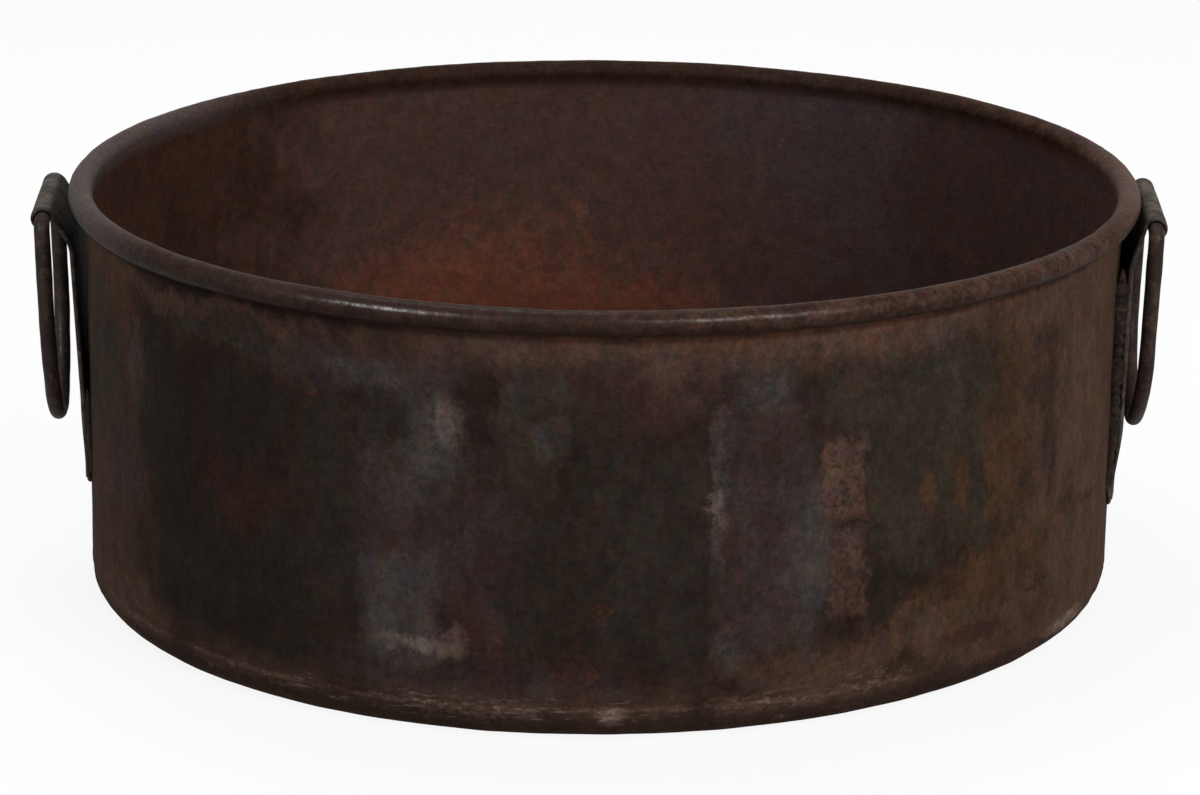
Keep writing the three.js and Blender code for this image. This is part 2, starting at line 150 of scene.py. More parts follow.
def make_piece(name, loops, ends, body="pot", attributes=None):
    """A smooth-shaded object whose mesh is the skin of the loops, scaled from mm to metres.
    attributes holds numbers for the shaders to read, which are spread over the loops' points."""
    vertices, quads, triangles = skin(loops, ends)
    mesh = bpy.data.meshes.new(name)
    mesh.vertices.add(len(vertices))
    mesh.vertices.foreach_set("co", (vertices * MM).astype(np.float32).ravel())
    corners = np.concatenate([quads.ravel(), triangles.ravel()]).astype(np.int32)
    sides = np.concatenate([np.full(len(quads), 4), np.full(len(triangles), 3)]).astype(np.int32)
    mesh.loops.add(len(corners))
    mesh.loops.foreach_set("vertex_index", corners)
    mesh.polygons.add(len(sides))
    mesh.polygons.foreach_set("loop_start", np.concatenate([[0], np.cumsum(sides)[:-1]]).astype(np.int32))
    mesh.polygons.foreach_set("use_smooth", np.ones(len(sides), bool))
    for key, values in (attributes or {}).items():
        layer = mesh.attributes.new(key, "FLOAT", "POINT")
        full = np.zeros(len(vertices), np.float32)
        full[:loops.shape[0] * loops.shape[1]] = np.broadcast_to(values, loops.shape[:2]).ravel()
        layer.data.foreach_set("value", full)
    mesh.update(calc_edges=True)
    mesh.validate()
    piece = add_object(name, mesh)
    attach(piece, body)
    print(name, "triangles:", 2 * len(quads) + len(triangles))
    return piece


# %% [markdown]
# ## Unevenness by hand
# Nothing on a hand-made pot is quite even. A sum of plane waves that run in random directions makes
# smooth, patternless hills at one size, and it needs no texture. A few of these at different sizes
# give dents, hammer marks and lumps, and the seeds keep them the same on every run.

# %% Smooth random hills
def hills(points, wavelength, seed, waves=18):
    """Sum of plane waves over the points: each has a random direction and phase and about the given
    wavelength in mm. The result mostly lies between -1.5 and 1.5."""
    chance = np.random.default_rng(seed)
    ways = chance.normal(size=(waves, 3))
    ways /= np.linalg.norm(ways, axis=1, keepdims=True)
    speed = 2 * math.pi / (wavelength * chance.uniform(0.7, 1.4, waves))
    phase = chance.uniform(0, 2 * math.pi, waves)
    turn = points.reshape(-1, 3) @ (ways * speed[:, None]).T + phase
    return (np.cos(turn).sum(1) / math.sqrt(waves)).reshape(points.shape[:-1])


def bell(x, middle, width):
    """One smooth bump, 1 at the middle and near 0 beyond twice the width on each side."""
    return np.exp(-((x - middle) / width) ** 2)


def ease(x, low, high):
    """Rises smoothly from 0 at low to 1 at high."""
    t = np.clip((x - low) / (high - low), 0, 1)
    return t * t * (3 - 2 * t)


# %% [markdown]
# ## The hand-made shape
# The real pan is a little oval, leans to one side and is lower at one side of its rim. The packed
# model bends every point of a true round pan by one formula, and the finer surfaces use the same
# one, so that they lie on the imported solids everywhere.

# %% From the round pan to the hand-made pan
def wall_outside(z):
    return WALL_FOOT_R + (WALL_TOP_R - WALL_FOOT_R) * z / POT_HEIGHT


def hand_shaped(points):
    """Swells the radius with the sine and cosine of twice the azimuth, more at the rim than at the
    base, then shifts the point to +X and drops it in proportion to its height."""
    x, y, z = np.moveaxis(points, -1, 0)
    rise = z / POT_HEIGHT
    twice = 2 * np.arctan2(y, x)
    oval_cos = BASE_OVAL[0] + (RIM_OVAL[0] - BASE_OVAL[0]) * rise
    oval_sin = BASE_OVAL[1] + (RIM_OVAL[1] - BASE_OVAL[1]) * rise
    swell = 1 + (oval_cos * np.cos(twice) + oval_sin * np.sin(twice)) / WALL_TOP_R
    new_x = x * swell + RIM_SHIFT * rise
    return np.stack([new_x, y * swell, z - RIM_DROP * new_x * rise / (2 * WALL_TOP_R)], -1)


def on_pan(r, azimuth, z):
    """Points from radius, azimuth in degrees and height, all broadcast together."""
    r, azimuth, z = np.broadcast_arrays(r, np.radians(azimuth), z)
    return np.stack([r * np.cos(azimuth), r * np.sin(azimuth), z], -1)


# %% Lines, arcs and what stands square to them
def arc(centre, radius, start, stop, steps):
    """Points of an arc in a plane, angles in degrees, both ends included."""
    angle = np.radians(np.linspace(start, stop, steps + 1))
    return np.stack([centre[0] + radius * np.cos(angle), centre[1] + radius * np.sin(angle)], -1)


def line_normals(line):
    """Unit directions square to a line of points, to its left, from each point's two neighbours."""
    along = np.gradient(line, axis=0)
    along /= np.linalg.norm(along, axis=1, keepdims=True)
    return np.stack([-along[:, 1], along[:, 0]], -1)


# %% [markdown]
# ## The wall and its rolled rim
# The wall is one band of sheet iron. Its top edge was turned outward round a wire, which gives the
# thick round rim. We draw the band's outline once, as a closed loop of radius and height, and carry
# it round the pan. Slow hills dent the sheet, and quicker ones make the roll as uneven as a mallet
# leaves it.

# %% The wall's outline
FACE_STEPS = 44
ROLL_STEPS = 26
AROUND = 600


def wall_line():
    """Middle line of the sheet: up the wall, in at the neck, then round the wire."""
    foot = BASE_SEAM_Z - 1.0
    neck = RIM_CENTRE[1] - RIM_NECK
    roll_r = RIM_ROLL_R - WALL_T / 2
    edge = wall_outside(neck) + WALL_T / 2 + GAP
    roll_end = -math.degrees(math.acos((edge - RIM_CENTRE[0]) / roll_r))
    height = np.linspace(foot, neck, FACE_STEPS)
    face = np.stack([wall_outside(height) - WALL_T / 2, height], -1)
    return np.vstack([face, arc(RIM_CENTRE, roll_r, ROLL_START, roll_end, ROLL_STEPS)])


def wall_dents(points):
    """Slow dents in the sheet, in mm, from hills of three sizes."""
    return 0.35 * hills(points, 170, 1) + 0.14 * hills(points, 55, 2) + 0.05 * hills(points, 17, 3)


line = wall_line()
normals = line_normals(line)
half = np.full(len(line), WALL_T / 2)
half[-1] = WALL_T / 2 - 0.5
outline = np.vstack([line - normals * half[:, None], (line + normals * half[:, None])[::-1]])
outward = np.vstack([-normals, normals[::-1]])
print("outline points:", len(outline))

# %% The wall carried round the pan
azimuth = SEAM_AZIMUTH + np.arange(AROUND) * 360 / AROUND
outline_r, outline_z = outline.T[:, :, None]
outward_r, outward_z = outward.T[:, :, None]
plain = on_pan(outline_r, azimuth, outline_z)
in_roll = ease(outline[:, 1], RIM_CENTRE[1] - 11, RIM_CENTRE[1] - 5)[:, None]
roll_lumps = 0.14 * hills(plain, 60, 4) + 0.09 * hills(plain, 24, 5) + 0.06 * hills(plain, 9, 6)
relief = wall_dents(plain) * (1 - in_roll) + roll_lumps * in_roll
wall_points = hand_shaped(on_pan(outline_r + outward_r * relief, azimuth,
                                 outline_z + outward_z * relief))
is_inner = np.zeros((len(outline), 1))
is_inner[len(line):] = 1
is_inner[outline[:, 0] > wall_outside(RIM_CENTRE[1]) + 0.2] = 0
faces = {"inside": is_inner * (1 - in_roll), "rolled": in_roll, "outer": 1 - is_inner}
wall = make_piece("wall_sheet", wall_points, "joined", attributes=faces)
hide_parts("wall")

# %% [markdown]
# ## The seam's weld
# The band's two ends meet in an upright weld. It is a narrow ribbon that follows the wall's own
# outline, stands a little proud of it on both faces, and is rippled as a hand-laid bead is.

# %% The seam's weld
across = np.linspace(-1, 1, 15)
half_angle = math.degrees(SEAM_WELD_WIDTH / 2 / WALL_TOP_R)
seam_turn = SEAM_AZIMUTH + across[:, None] * half_angle * 1.1
seam_plain = on_pan(outline_r.T, seam_turn, outline_z.T)
ripple = 0.55 + 0.16 * hills(seam_plain, 9, 7) + 0.10 * hills(seam_plain, 4.5, 8)
proud = (ripple * (1 - across[:, None] ** 2) - 0.25) * (1 - 0.75 * in_roll.T)
seam_points = hand_shaped(on_pan(outline_r.T + outward_r.T * proud, seam_turn,
                                 outline_z.T + outward_z.T * proud))
seam = make_piece("seam_bead", seam_points, "rows",
                  attributes={key: values.T for key, values in faces.items()})
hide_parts("wall_seam_weld")

# %% [markdown]
# ## The base
# The base is a dish: a flat disc whose edge turns up through a round knuckle. Its outline starts and
# ends on the pan's axis, so the stack of loops is closed with a fan at the middle of the underside
# and another at the middle of the floor. The underside keeps flat, and the knuckle is battered.

# %% The base dish
UNDERSIDE_SHARE = 0.58


def base_outline():
    """From near the axis along the underside, round the knuckle, over the top edge, down the inner
    knuckle and back along the floor, as radius and height."""
    top = KNUCKLE_R + BASE_FLANGE + 1.2
    outside = wall_outside(KNUCKLE_R + BASE_FLANGE)
    centre = (outside - KNUCKLE_R, KNUCKLE_R)
    floor_r = np.concatenate([np.linspace(6, 330, 34), np.linspace(338, centre[0] - 1, 6)])
    under = np.stack([floor_r, np.zeros(len(floor_r))], -1)
    floor = np.stack([floor_r[::-1], np.full(len(floor_r), BASE_T)], -1)
    lip = np.array([[outside, top - 0.6], [outside - 0.6, top], [outside - BASE_T + 0.6, top],
                    [outside - BASE_T, top - 0.6]])
    return np.vstack([under, arc(centre, KNUCKLE_R, -90, 0, 16), lip,
                      arc(centre, KNUCKLE_R - BASE_T, 0, -90, 12), floor])


base_line = base_outline()
base_r, base_z = base_line.T[:, :, None]
normal_r, normal_z = line_normals(base_line).T[:, :, None]
base_plain = on_pan(base_r, azimuth, base_z)
upward = np.arange(len(base_line))[:, None] > len(base_line) * UNDERSIDE_SHARE
on_knuckle = bell(base_z, 9, 7) * ~upward
battered = 0.30 * hills(base_plain, 70, 11) + 0.22 * hills(base_plain, 26, 12) \
    + 0.10 * hills(base_plain, 10, 13)
floor_dents = 0.5 * hills(base_plain, 190, 14) + 0.12 * hills(base_plain, 40, 15)
base_relief = battered * on_knuckle + floor_dents * upward
base_points = hand_shaped(on_pan(base_r - normal_r * base_relief, azimuth,
                                 np.maximum(base_z - normal_z * base_relief, 0)))
base = make_piece("base_dish", base_points, "fan", attributes={"inside": upward})
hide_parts("base_pan")

# %% [markdown]
# ## The weld between base and wall
# This bead was filed nearly flush, so it shows only as a lumpy line above the knuckle. It is a flat
# ellipse carried round the pan, and hills of three sizes swell and starve it.

# %% The base's weld
BEAD_HALF_HEIGHT = 4.2


def base_bead_loops():
    """Outside and inside faces of a flat bead: each bulges by the square of a cosine of height, sinks
    just under the sheet at its edges and follows the sheet's dents."""
    t = np.linspace(-1, 1, 13)
    t = np.concatenate([t, t[::-1]])[:, None]
    height = BASE_SEAM_Z + BEAD_HALF_HEIGHT * t
    plain = on_pan(WALL_FOOT_R, azimuth, height)
    lumps = 0.16 * hills(plain, 60, 21) + 0.14 * hills(plain, 17, 22) + 0.08 * hills(plain, 6, 23)
    bulge = np.cos(math.pi / 2 * t) ** 2
    proud = np.maximum(0.42 + lumps, 0.26) * bulge - 0.1
    proud = proud + wall_dents(plain) * ease(height, BASE_SEAM_Z - 3, BASE_SEAM_Z)
    outside = wall_outside(height) + proud
    within = wall_outside(height) - BASE_T + 0.4 - proud
    outer = np.arange(len(t))[:, None] < len(t) // 2
    return hand_shaped(on_pan(np.where(outer, outside, within), azimuth, height)), outer


bead_loops, bead_outer = base_bead_loops()
base_weld = make_piece("base_bead", bead_loops, "joined", attributes={"inside": ~bead_outer})
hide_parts("base_weld")

# %% [markdown]
# ## Places beside a handle
# A handle has its own directions: sideways towards the pot's back, straight out from the pot, and
# up. A strap has to know how far out the uneven wall lies behind it, so a few tries find the point
# of the round pan that the hand-made shape moves to a given place.

# %% Handle directions and the wall behind a strap
FACE_ROUNDS = 4


def beside(handle, s, n, z):
    """Point from sideways place, distance out and height: sideways runs square to the handle's
    azimuth, towards the back."""
    angle = math.radians(handle["azimuth"])
    s, n, z = np.broadcast_arrays(s * handle["back"], n, z)
    return np.stack([n * math.cos(angle) - s * math.sin(angle),
                     n * math.sin(angle) + s * math.cos(angle), z], -1)


def wall_face(handle, s, z):
    """Distance out of the wall's outside face at sideways place s and height z."""
    angle = math.radians(handle["azimuth"])
    out = np.array([math.cos(angle), math.sin(angle), 0])
    to_back = np.array([-out[1], out[0], 0]) * handle["back"]
    s, z = np.broadcast_arrays(np.asarray(s, float), np.asarray(z, float))
    sideways, height = s.copy(), z.copy()
    for _ in range(FACE_ROUNDS):
        r = wall_outside(height)
        turn = np.degrees(np.arcsin(sideways / r)) * handle["back"]
        point = hand_shaped(on_pan(r, handle["azimuth"] + turn, height))
        sideways = sideways + s - point @ to_back
        height = height + z - point[..., 2]
    return point @ out


def wall_reach(handle, z):
    """The furthest that the wall reaches anywhere behind the flat strap, at each height."""
    s = np.linspace(-0.5, 0.5, 13) * handle["width"]
    return wall_face(handle, s[None, :], np.atleast_1d(z)[:, None]).max(1)


# %% Where the eye, the foot and the strap's plane are
def eye_height(handle):
    return POT_HEIGHT - handle["eye_below_rim"]


def strap_foot(handle):
    return eye_height(handle) - handle["length"]


def eye_reach(handle):
    ends = wall_reach(handle, np.array([strap_foot(handle), eye_height(handle)]))
    return ends.max() + handle["eye_standoff"]


def strap_reach(handle, z):
    """Distance of the strap's middle plane: on the wall at the foot, standing off more above it."""
    flat = strap_foot(handle) + FOOT_HAMMERED
    knee = eye_height(handle) - handle["knee_drop"]
    rise = np.clip((z - flat) / (knee - flat), 0, 1)
    return wall_reach(handle, z) + GAP + STRAP_T / 2 + handle["knee_standoff"] * rise


def foot_bow(handle, s, z):
    """How far the foot bends back from its flat plane to follow the round wall."""
    fade = 1 - ease(z, strap_foot(handle), strap_foot(handle) + FOOT_HAMMERED)
    return fade * (wall_face(handle, s, z) - wall_reach(handle, z.ravel()).reshape(z.shape))


for side, handle in HANDLES.items():
    print(side, "eye at", round(float(eye_reach(handle)), 2), "mm out,", eye_height(handle), "mm up")

# %% [markdown]
# ## The straps
# A strap is a plate: flat up the wall, bent outward at the knee and rolled over into an eye. Its
# middle line is drawn in the plane of out and up. Then a thin rounded section is carried along it,
# as wide as the plate. The foot was beaten to the wall's curve, and its corners are round.

# %% The middle line of a strap
def strap_line(handle):
    """Points of distance out and height from foot to lip, with each one's thickness, half width and
    share of the painted shade on the slope under the eye."""
    foot, eye = strap_foot(handle), np.array([eye_reach(handle), eye_height(handle)])
    half_width = handle["width"] / 2
    knee_z = eye[1] - handle["knee_drop"]
    knee = np.array([strap_reach(handle, np.array([knee_z]))[0], knee_z])
    corner = foot + STRAP_CORNER_R * (1 - np.cos(np.radians(np.linspace(8, 90, 8))))
    rise = np.concatenate([[foot], corner, np.linspace(foot + 11, knee_z - KNEE_BEND - 1, 40)])
    plate = np.stack([strap_reach(handle, rise), rise], -1)
    roll_r = EYE_INNER_R + EYE_T / 2
    to_eye = eye - knee
    lean = math.atan2(to_eye[1], to_eye[0]) + math.asin(roll_r / np.linalg.norm(to_eye))
    leaning = np.array([math.cos(lean), math.sin(lean)])
    below = np.array([strap_reach(handle, np.array([knee_z - KNEE_BEND]))[0], knee_z - KNEE_BEND])
    t = np.linspace(0, 1, 9)[:, None]
    bend = (1 - t) ** 2 * below + 2 * t * (1 - t) * knee + t ** 2 * (knee + leaning * KNEE_BEND)
    roll = arc(eye, roll_r, math.degrees(lean) + 90, -EYE_LIP_ANGLE, 34)
    line = np.vstack([plate, bend, bend[-1] + (roll[0] - bend[-1]) * np.array([[0.35], [0.7]]), roll])
    thick = STRAP_T + (EYE_T - STRAP_T) * ease(np.arange(len(line)), len(plate) + 8, len(plate) + 14)
    inset = np.clip(STRAP_CORNER_R - (line[:, 1] - foot), 0, STRAP_CORNER_R)
    inset[len(plate):] = 0
    half_widths = half_width - STRAP_CORNER_R + np.sqrt(STRAP_CORNER_R ** 2 - inset ** 2)
    on_slope = bell(np.arange(len(line)), len(plate) + 10, 5)
    return line, thick, half_widths, on_slope


# %% A strap from its middle line
STRAP_ACROSS = 40


def strap_loops(handle, seed):
    """A loop runs across the wall side of the plate and back over its outer side, rounded at both
    edges. Hammer marks push the outer face, and the wall side keeps its distance."""
    line, thick, half_widths, on_slope = strap_line(handle)
    line_n, line_z = line.T[:, :, None]
    normal_n, normal_z = line_normals(line).T[:, :, None]
    across = np.linspace(-1, 1, STRAP_ACROSS)
    there_and_back = np.concatenate([across, across[::-1]])
    rounding = np.sqrt(np.clip(1 - np.clip((np.abs(across) - 0.97) / 0.03, 0, 1) ** 2, 0, 1))
    squeeze = np.clip(rounding, 0.42, 1)
    s = there_and_back * half_widths[:, None]
    side = np.concatenate([-squeeze, squeeze]) * thick[:, None] / 2
    n = line_n + normal_n * side
    z = line_z + normal_z * side
    plain = beside(handle, s, n, z)
    marks = 0.16 * hills(plain, 30, seed) + 0.10 * hills(plain, 13, seed + 1)
    slump = 0.5 * hills(plain, 120, seed + 2) * ease(z, strap_foot(handle) + 20, eye_height(handle))
    marks = marks * (np.arange(2 * STRAP_ACROSS) >= STRAP_ACROSS)
    n = n - normal_n * marks + foot_bow(handle, s, line_z)
    z = z - normal_z * marks
    # Painted shade: the slope under the eye is marked for near-black paint.
    slope_shade = np.clip(1.6 * on_slope, 0, 1)[:, None]
    edge = bell(np.abs(there_and_back), 1, 0.045)
    return beside(handle, s + 0.25 * slump, n, z), {"slope_shade": slope_shade, "edge": edge}


for seed, (side, handle) in enumerate(HANDLES.items()):
    strap_points, wear = strap_loops(handle, 30 + 10 * seed)
    strap = make_piece(side + "_strap_plate", strap_points, "rows", attributes=wear)
    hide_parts(side + "_strap")

# %% [markdown]
# ## The strap welds
# Each weld bead lies in the corner between the wall and the plate's edge. A round bead that runs
# along the corner, half sunk in both, shows only its outer quarter. The old weld is a row of blobs,
# so its radius rises and falls along the way.

# %% A lumpy bead along a line
BEAD_SIDES = 18
BEAD_R = 2.9
BLOB_PITCH = 7.0
BEAD_TAPER = 4.0
BEAD_TOP_TAPER = 16.0
BEAD_TURN = np.linspace(0, 2 * math.pi, BEAD_SIDES, endpoint=False)


def bead_radius(along, points, last_taper, seed):
    """Radius of a bead: blobs at an even pitch, with hills that starve and swell them, tapered at
    both ends of its length."""
    blobs = 0.22 * np.abs(np.sin(math.pi * along / BLOB_PITCH + 1.3 * hills(points, 40, seed)))
    radius = BEAD_R * (0.8 + blobs + 0.2 * hills(points, 15, seed + 1) + 0.12 * hills(points, 5, seed + 2))
    ends = np.minimum((along - along[0]) / BEAD_TAPER, (along[-1] - along) / last_taper)
    return radius * np.clip(ends + 0.25, 0, 1)


def upright_bead(handle, end, seed):
    """Ellipses stacked up one edge of the strap, centred in the corner of wall and plate."""
    low = strap_foot(handle) + STRAP_CORNER_R - 2
    z = np.linspace(low, low + handle["weld_height"] + 2, int(handle["weld_height"] * 1.1))
    s = np.full(len(z), end * handle["width"] / 2)
    plate = strap_reach(handle, z) + foot_bow(handle, s, z) - STRAP_T / 2
    wall_at = wall_face(handle, s + end * 2, z)
    middle = (plate + wall_at) / 2 + 0.2
    radius = bead_radius(z, beside(handle, s, middle, z), BEAD_TOP_TAPER, seed)
    deep = np.maximum((plate - wall_at) / 2 + 0.9, 1.5)
    return beside(handle, s[:, None] + radius[:, None] * np.cos(BEAD_TURN),
                  middle[:, None] + (radius / BEAD_R * deep)[:, None] * np.sin(BEAD_TURN), z[:, None])


def foot_bead(handle, seed):
    """The same bead laid on its side under the strap's foot, following the wall."""
    half_width = handle["width"] / 2 - STRAP_CORNER_R + 2
    s = np.linspace(-half_width, half_width, int(handle["width"] * 1.1))
    z = np.full(len(s), strap_foot(handle) - 0.8)
    middle = wall_face(handle, s, z) + 1.0
    radius = bead_radius(s, beside(handle, s, middle, z), BEAD_TAPER, seed)
    return beside(handle, s[:, None], middle[:, None] + 0.85 * radius[:, None] * np.cos(BEAD_TURN),
                  z[:, None] + radius[:, None] * np.sin(BEAD_TURN))


for seed, (side, handle) in enumerate(HANDLES.items()):
    for name, loops in (("front", upright_bead(handle, -1, 50 + 20 * seed)),
                        ("rear", upright_bead(handle, 1, 56 + 20 * seed)),
                        ("bottom", foot_bead(handle, 62 + 20 * seed))):
        bead = make_piece(f"{side}_{name}_bead", loops, "rows")
        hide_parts(f"{side}_{name}_weld")

# %% [markdown]
# ## The rings
# A ring is a round rod: a straight bar in the eye, two legs and a bent bottom. Its middle line lies
# in one plane, and a circle is carried along it. The rod was forged, so its thickness varies by a few
# tenths of a millimetre. Each ring rides on its own body, so that it swings.

# %% The middle line of a ring
ROD_SIDES = 28


def ring_line(handle):
    """Sideways place and drop below the eye: the bar, an elbow and a leg, a half ellipse that
    narrows by the pinch towards its point, and the other leg and elbow."""
    half_width = handle["width"] / 2 + RING_SIDE_PLAY + ROD_R
    depth = RING_DROP - handle["ring_leg"]
    pinch = handle["pinch"]
    turn = np.linspace(0, 90, 13)
    bar = np.linspace(-1, 1, 41)[1:-1] * (half_width - RING_ELBOW_R)
    corner = np.stack([half_width - RING_ELBOW_R * (1 - np.sin(np.radians(turn))),
                       RING_ELBOW_R * (1 - np.cos(np.radians(turn)))], -1)
    leg = np.linspace(RING_ELBOW_R, handle["ring_leg"], 26)[1:-1]
    t = np.linspace(0, math.pi, 181)
    bend = np.stack([half_width * np.cos(t) * (1 - pinch * np.sin(t) ** 2),
                     handle["ring_leg"] + depth * np.sin(t)], -1)
    right_leg = np.stack([np.full(len(leg), half_width), leg], -1)
    mirror = np.array([-1, 1])
    return np.vstack([np.stack([bar, np.zeros(len(bar))], -1), corner, right_leg, bend,
                      right_leg[::-1] * mirror, corner[::-1] * mirror])


def ring_loops(handle, seed):
    """A circle of slightly uneven radius carried round the closed line, tipped by the lean."""
    line = ring_line(handle)
    along = np.roll(line, -1, 0) - np.roll(line, 1, 0)
    along /= np.linalg.norm(along, axis=1, keepdims=True)
    line_s, line_down = line.T[:, :, None]
    along_s, along_down = along.T[:, :, None]
    turn = np.linspace(0, 2 * math.pi, ROD_SIDES, endpoint=False)
    path = np.column_stack([line, np.zeros(len(line))])
    below_eye = ease(line[:, 1], 4, 20)
    radius = ROD_R + (0.10 * hills(path, 45, seed) + 0.07 * hills(path, 17, seed + 1)) * below_eye
    across = radius[:, None] * np.cos(turn)
    out = radius[:, None] * np.sin(turn)
    s = line_s + along_down * across
    down = line_down - along_s * across
    lean = math.radians(handle["lean"])
    return beside(handle, s, eye_reach(handle) - down * math.sin(lean) + out * math.cos(lean),
                  eye_height(handle) - down * math.cos(lean) - out * math.sin(lean))


for seed, (side, handle) in enumerate(HANDLES.items()):
    ring = make_piece(side + "_ring_rod", ring_loops(handle, 90 + 5 * seed), "joined", side + "_handle")
    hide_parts(side + "_ring")

# %% [markdown]
# ## Shader maths in plain Python
# A finish is a tree of nodes, and most of its nodes are sums. Wrapping a socket in a small class
# lets Python's own signs build them, so a formula for rust reads as a formula.

# %% A socket that takes part in sums
class Signal:
    """One output socket of a finish. +, - and * with another signal or a number add Math nodes."""

    def __init__(self, finish, socket):
        self.finish, self.socket = finish, socket

    def sum(self, operation, a, b):
        return self.finish.node("ShaderNodeMath", {"operation": operation}, {0: a, 1: b})

    def __add__(self, other):
        return self.sum("ADD", self, other)

    def __sub__(self, other):
        return self.sum("SUBTRACT", self, other)

    def __mul__(self, other):
        return self.sum("MULTIPLY", self, other)

    def __rsub__(self, other):
        return self.sum("SUBTRACT", other, self)

    __radd__ = __add__
    __rmul__ = __mul__


# %% A finish and its nodes
class Finish:
    """A material under construction: node() adds any node, and the rest are the ones used most."""

    def __init__(self, name):
        self.material = bpy.data.materials.new(name)
        self.material.use_nodes = True
        self.tree = self.material.node_tree
        self.shader = self.tree.nodes["Principled BSDF"]
        self.place = self.node("ShaderNodeTexCoord", out="Object")
        split = self.node("ShaderNodeSeparateXYZ", sockets={0: self.place})
        self.x = split
        self.y = Signal(self, split.socket.node.outputs[1])
        self.z = Signal(self, split.socket.node.outputs[2])

    def feed(self, socket, value):
        if isinstance(value, Signal):
            self.tree.links.new(value.socket, socket)
        elif isinstance(value, tuple) and len(value) == 3 and socket.type == "RGBA":
            socket.default_value = (*value, 1)
        else:
            socket.default_value = value

    def node(self, kind, settings=None, sockets=None, out=0):
        added = self.tree.nodes.new(kind)
        for key, value in (settings or {}).items():
            setattr(added, key, value)
        for key, value in (sockets or {}).items():
            self.feed(added.inputs[key], value)
        return Signal(self, added.outputs[out])

    def attribute(self, name):
        return self.node("ShaderNodeAttribute", {"attribute_name": name}, out="Fac")

    def noise(self, size, detail=4.0, roughness=0.55, stretch=(1, 1, 1), shift=0.0):
        """Fractal noise from 0 to 1 whose largest blotches are about size mm across."""
        scale = tuple(k / (size * MM) for k in stretch)
        stretched = self.node("ShaderNodeVectorMath", {"operation": "MULTIPLY"}, {0: self.place, 1: scale})
        moved = self.node("ShaderNodeVectorMath", {"operation": "ADD"},
                          {0: stretched, 1: (shift, shift * 0.7, -shift)})
        return self.node("ShaderNodeTexNoise", {"noise_dimensions": "3D"},
                         {"Vector": moved, "Scale": 1.0, "Detail": detail, "Roughness": roughness})

    def ramp(self, value, low, high):
        """0 at low and below, 1 at high and above, and smooth between."""
        return self.node("ShaderNodeMapRange", {"interpolation_type": "SMOOTHSTEP"},
                         {"Value": value, "From Min": low, "From Max": high})

    def most(self, a, b):
        return self.node("ShaderNodeMath", {"operation": "MAXIMUM"}, {0: a, 1: b})

    def mix(self, factor, a, b):
        return self.node("ShaderNodeMix", {"data_type": "RGBA"}, {0: factor, 6: a, 7: b}, out=2)

    def tinted(self, colour, red, green, blue):
        """A colour whose channels are each multiplied by a value."""
        tint = self.node("ShaderNodeCombineColor", sockets={0: red, 1: green, 2: blue})
        return self.node("ShaderNodeMix", {"data_type": "RGBA", "blend_type": "MULTIPLY"},
                         {0: 1.0, 6: colour, 7: tint}, out=2)

    def scaled(self, colour, value):
        return self.tinted(colour, value, value, value)

    def spot(self, around, height):
        return self.node("ShaderNodeCombineXYZ", sockets={0: around, 1: height})

    def bump(self, height, depth):
        """Normals from a height of 0 to 1, depth in mm."""
        return self.node("ShaderNodeBump", sockets={"Height": height, "Distance": depth * MM,
                                                    "Strength": 1.0})

    def done(self, colour, roughness, normal, specular):
        self.feed(self.shader.inputs["Base Color"], colour)
        self.feed(self.shader.inputs["Roughness"], roughness)
        self.shader.inputs["Metallic"].default_value = 0.0
        self.feed(self.shader.inputs["Normal"], normal)
        self.shader.inputs["Specular IOR Level"].default_value = specular
        print("finish", self.material.name, "nodes:", len(self.tree.nodes))
        return self.material


# %% [markdown]
# ## The iron's colours
# Old cookware iron has no one colour. Under the soot it is a smoked brown, plum where oil has burned
# on, grey where rubbing has worn it, a grey that is also a painted sheen, and ochre, pink or orange
# brown where it rusts. Each one is named here once, as a linear colour.

# %% Colours
UMBER = (0.0378, 0.0212, 0.0127)
# Smoked brown of the iron, also used as painted shade on the knuckle.
SMOKE_AND_SHADE_BROWN = (0.0160, 0.0096, 0.0070)
SOOT = (0.0145, 0.0110, 0.0087)
ASH = (0.0190, 0.0138, 0.0110)
OLIVE = (0.0262, 0.0190, 0.0140)
PLUM = (0.0304, 0.0196, 0.0186)
MAROON = (0.0300, 0.0128, 0.0098)
# Grey of iron worn by rubbing, also a painted sheen.
RUBBED_SHEEN_GREY = (0.0465, 0.0385, 0.0345)
OCHRE = (0.0450, 0.0226, 0.0132)
RUST_BROWN = (0.0515, 0.0282, 0.0192)
RUST_PINK = (0.0680, 0.0365, 0.0270)
RUST_ORANGE = (0.1300, 0.0460, 0.0200)
PALE_SCUFF = (0.2200, 0.1600, 0.1250)
OVEN_BROWN = (0.0430, 0.0195, 0.0125)
OVEN_PINK = (0.0680, 0.0360, 0.0292)
OVEN_VIOLET = (0.0620, 0.0410, 0.0405)
OVEN_PLUM = (0.0535, 0.0308, 0.0266)
GLOW_ORANGE = (0.1850, 0.0640, 0.0360)
GLOW_RED = (0.1250, 0.0385, 0.0225)
RIM_DARK = (0.0245, 0.0118, 0.0080)
RIM_GREY = (0.0700, 0.0540, 0.0500)
RIM_PINK = (0.0850, 0.0530, 0.0420)
ROD_BROWN = (0.0250, 0.0135, 0.0095)
ROD_DARK = (0.0135, 0.0080, 0.0062)
PLATE_GREY = (0.0800, 0.0650, 0.0520)
PLATE_DARK = (0.0190, 0.0135, 0.0100)
WELD_BROWN = (0.0360, 0.0220, 0.0150)
WELD_DARK = (0.0095, 0.0070, 0.0052)
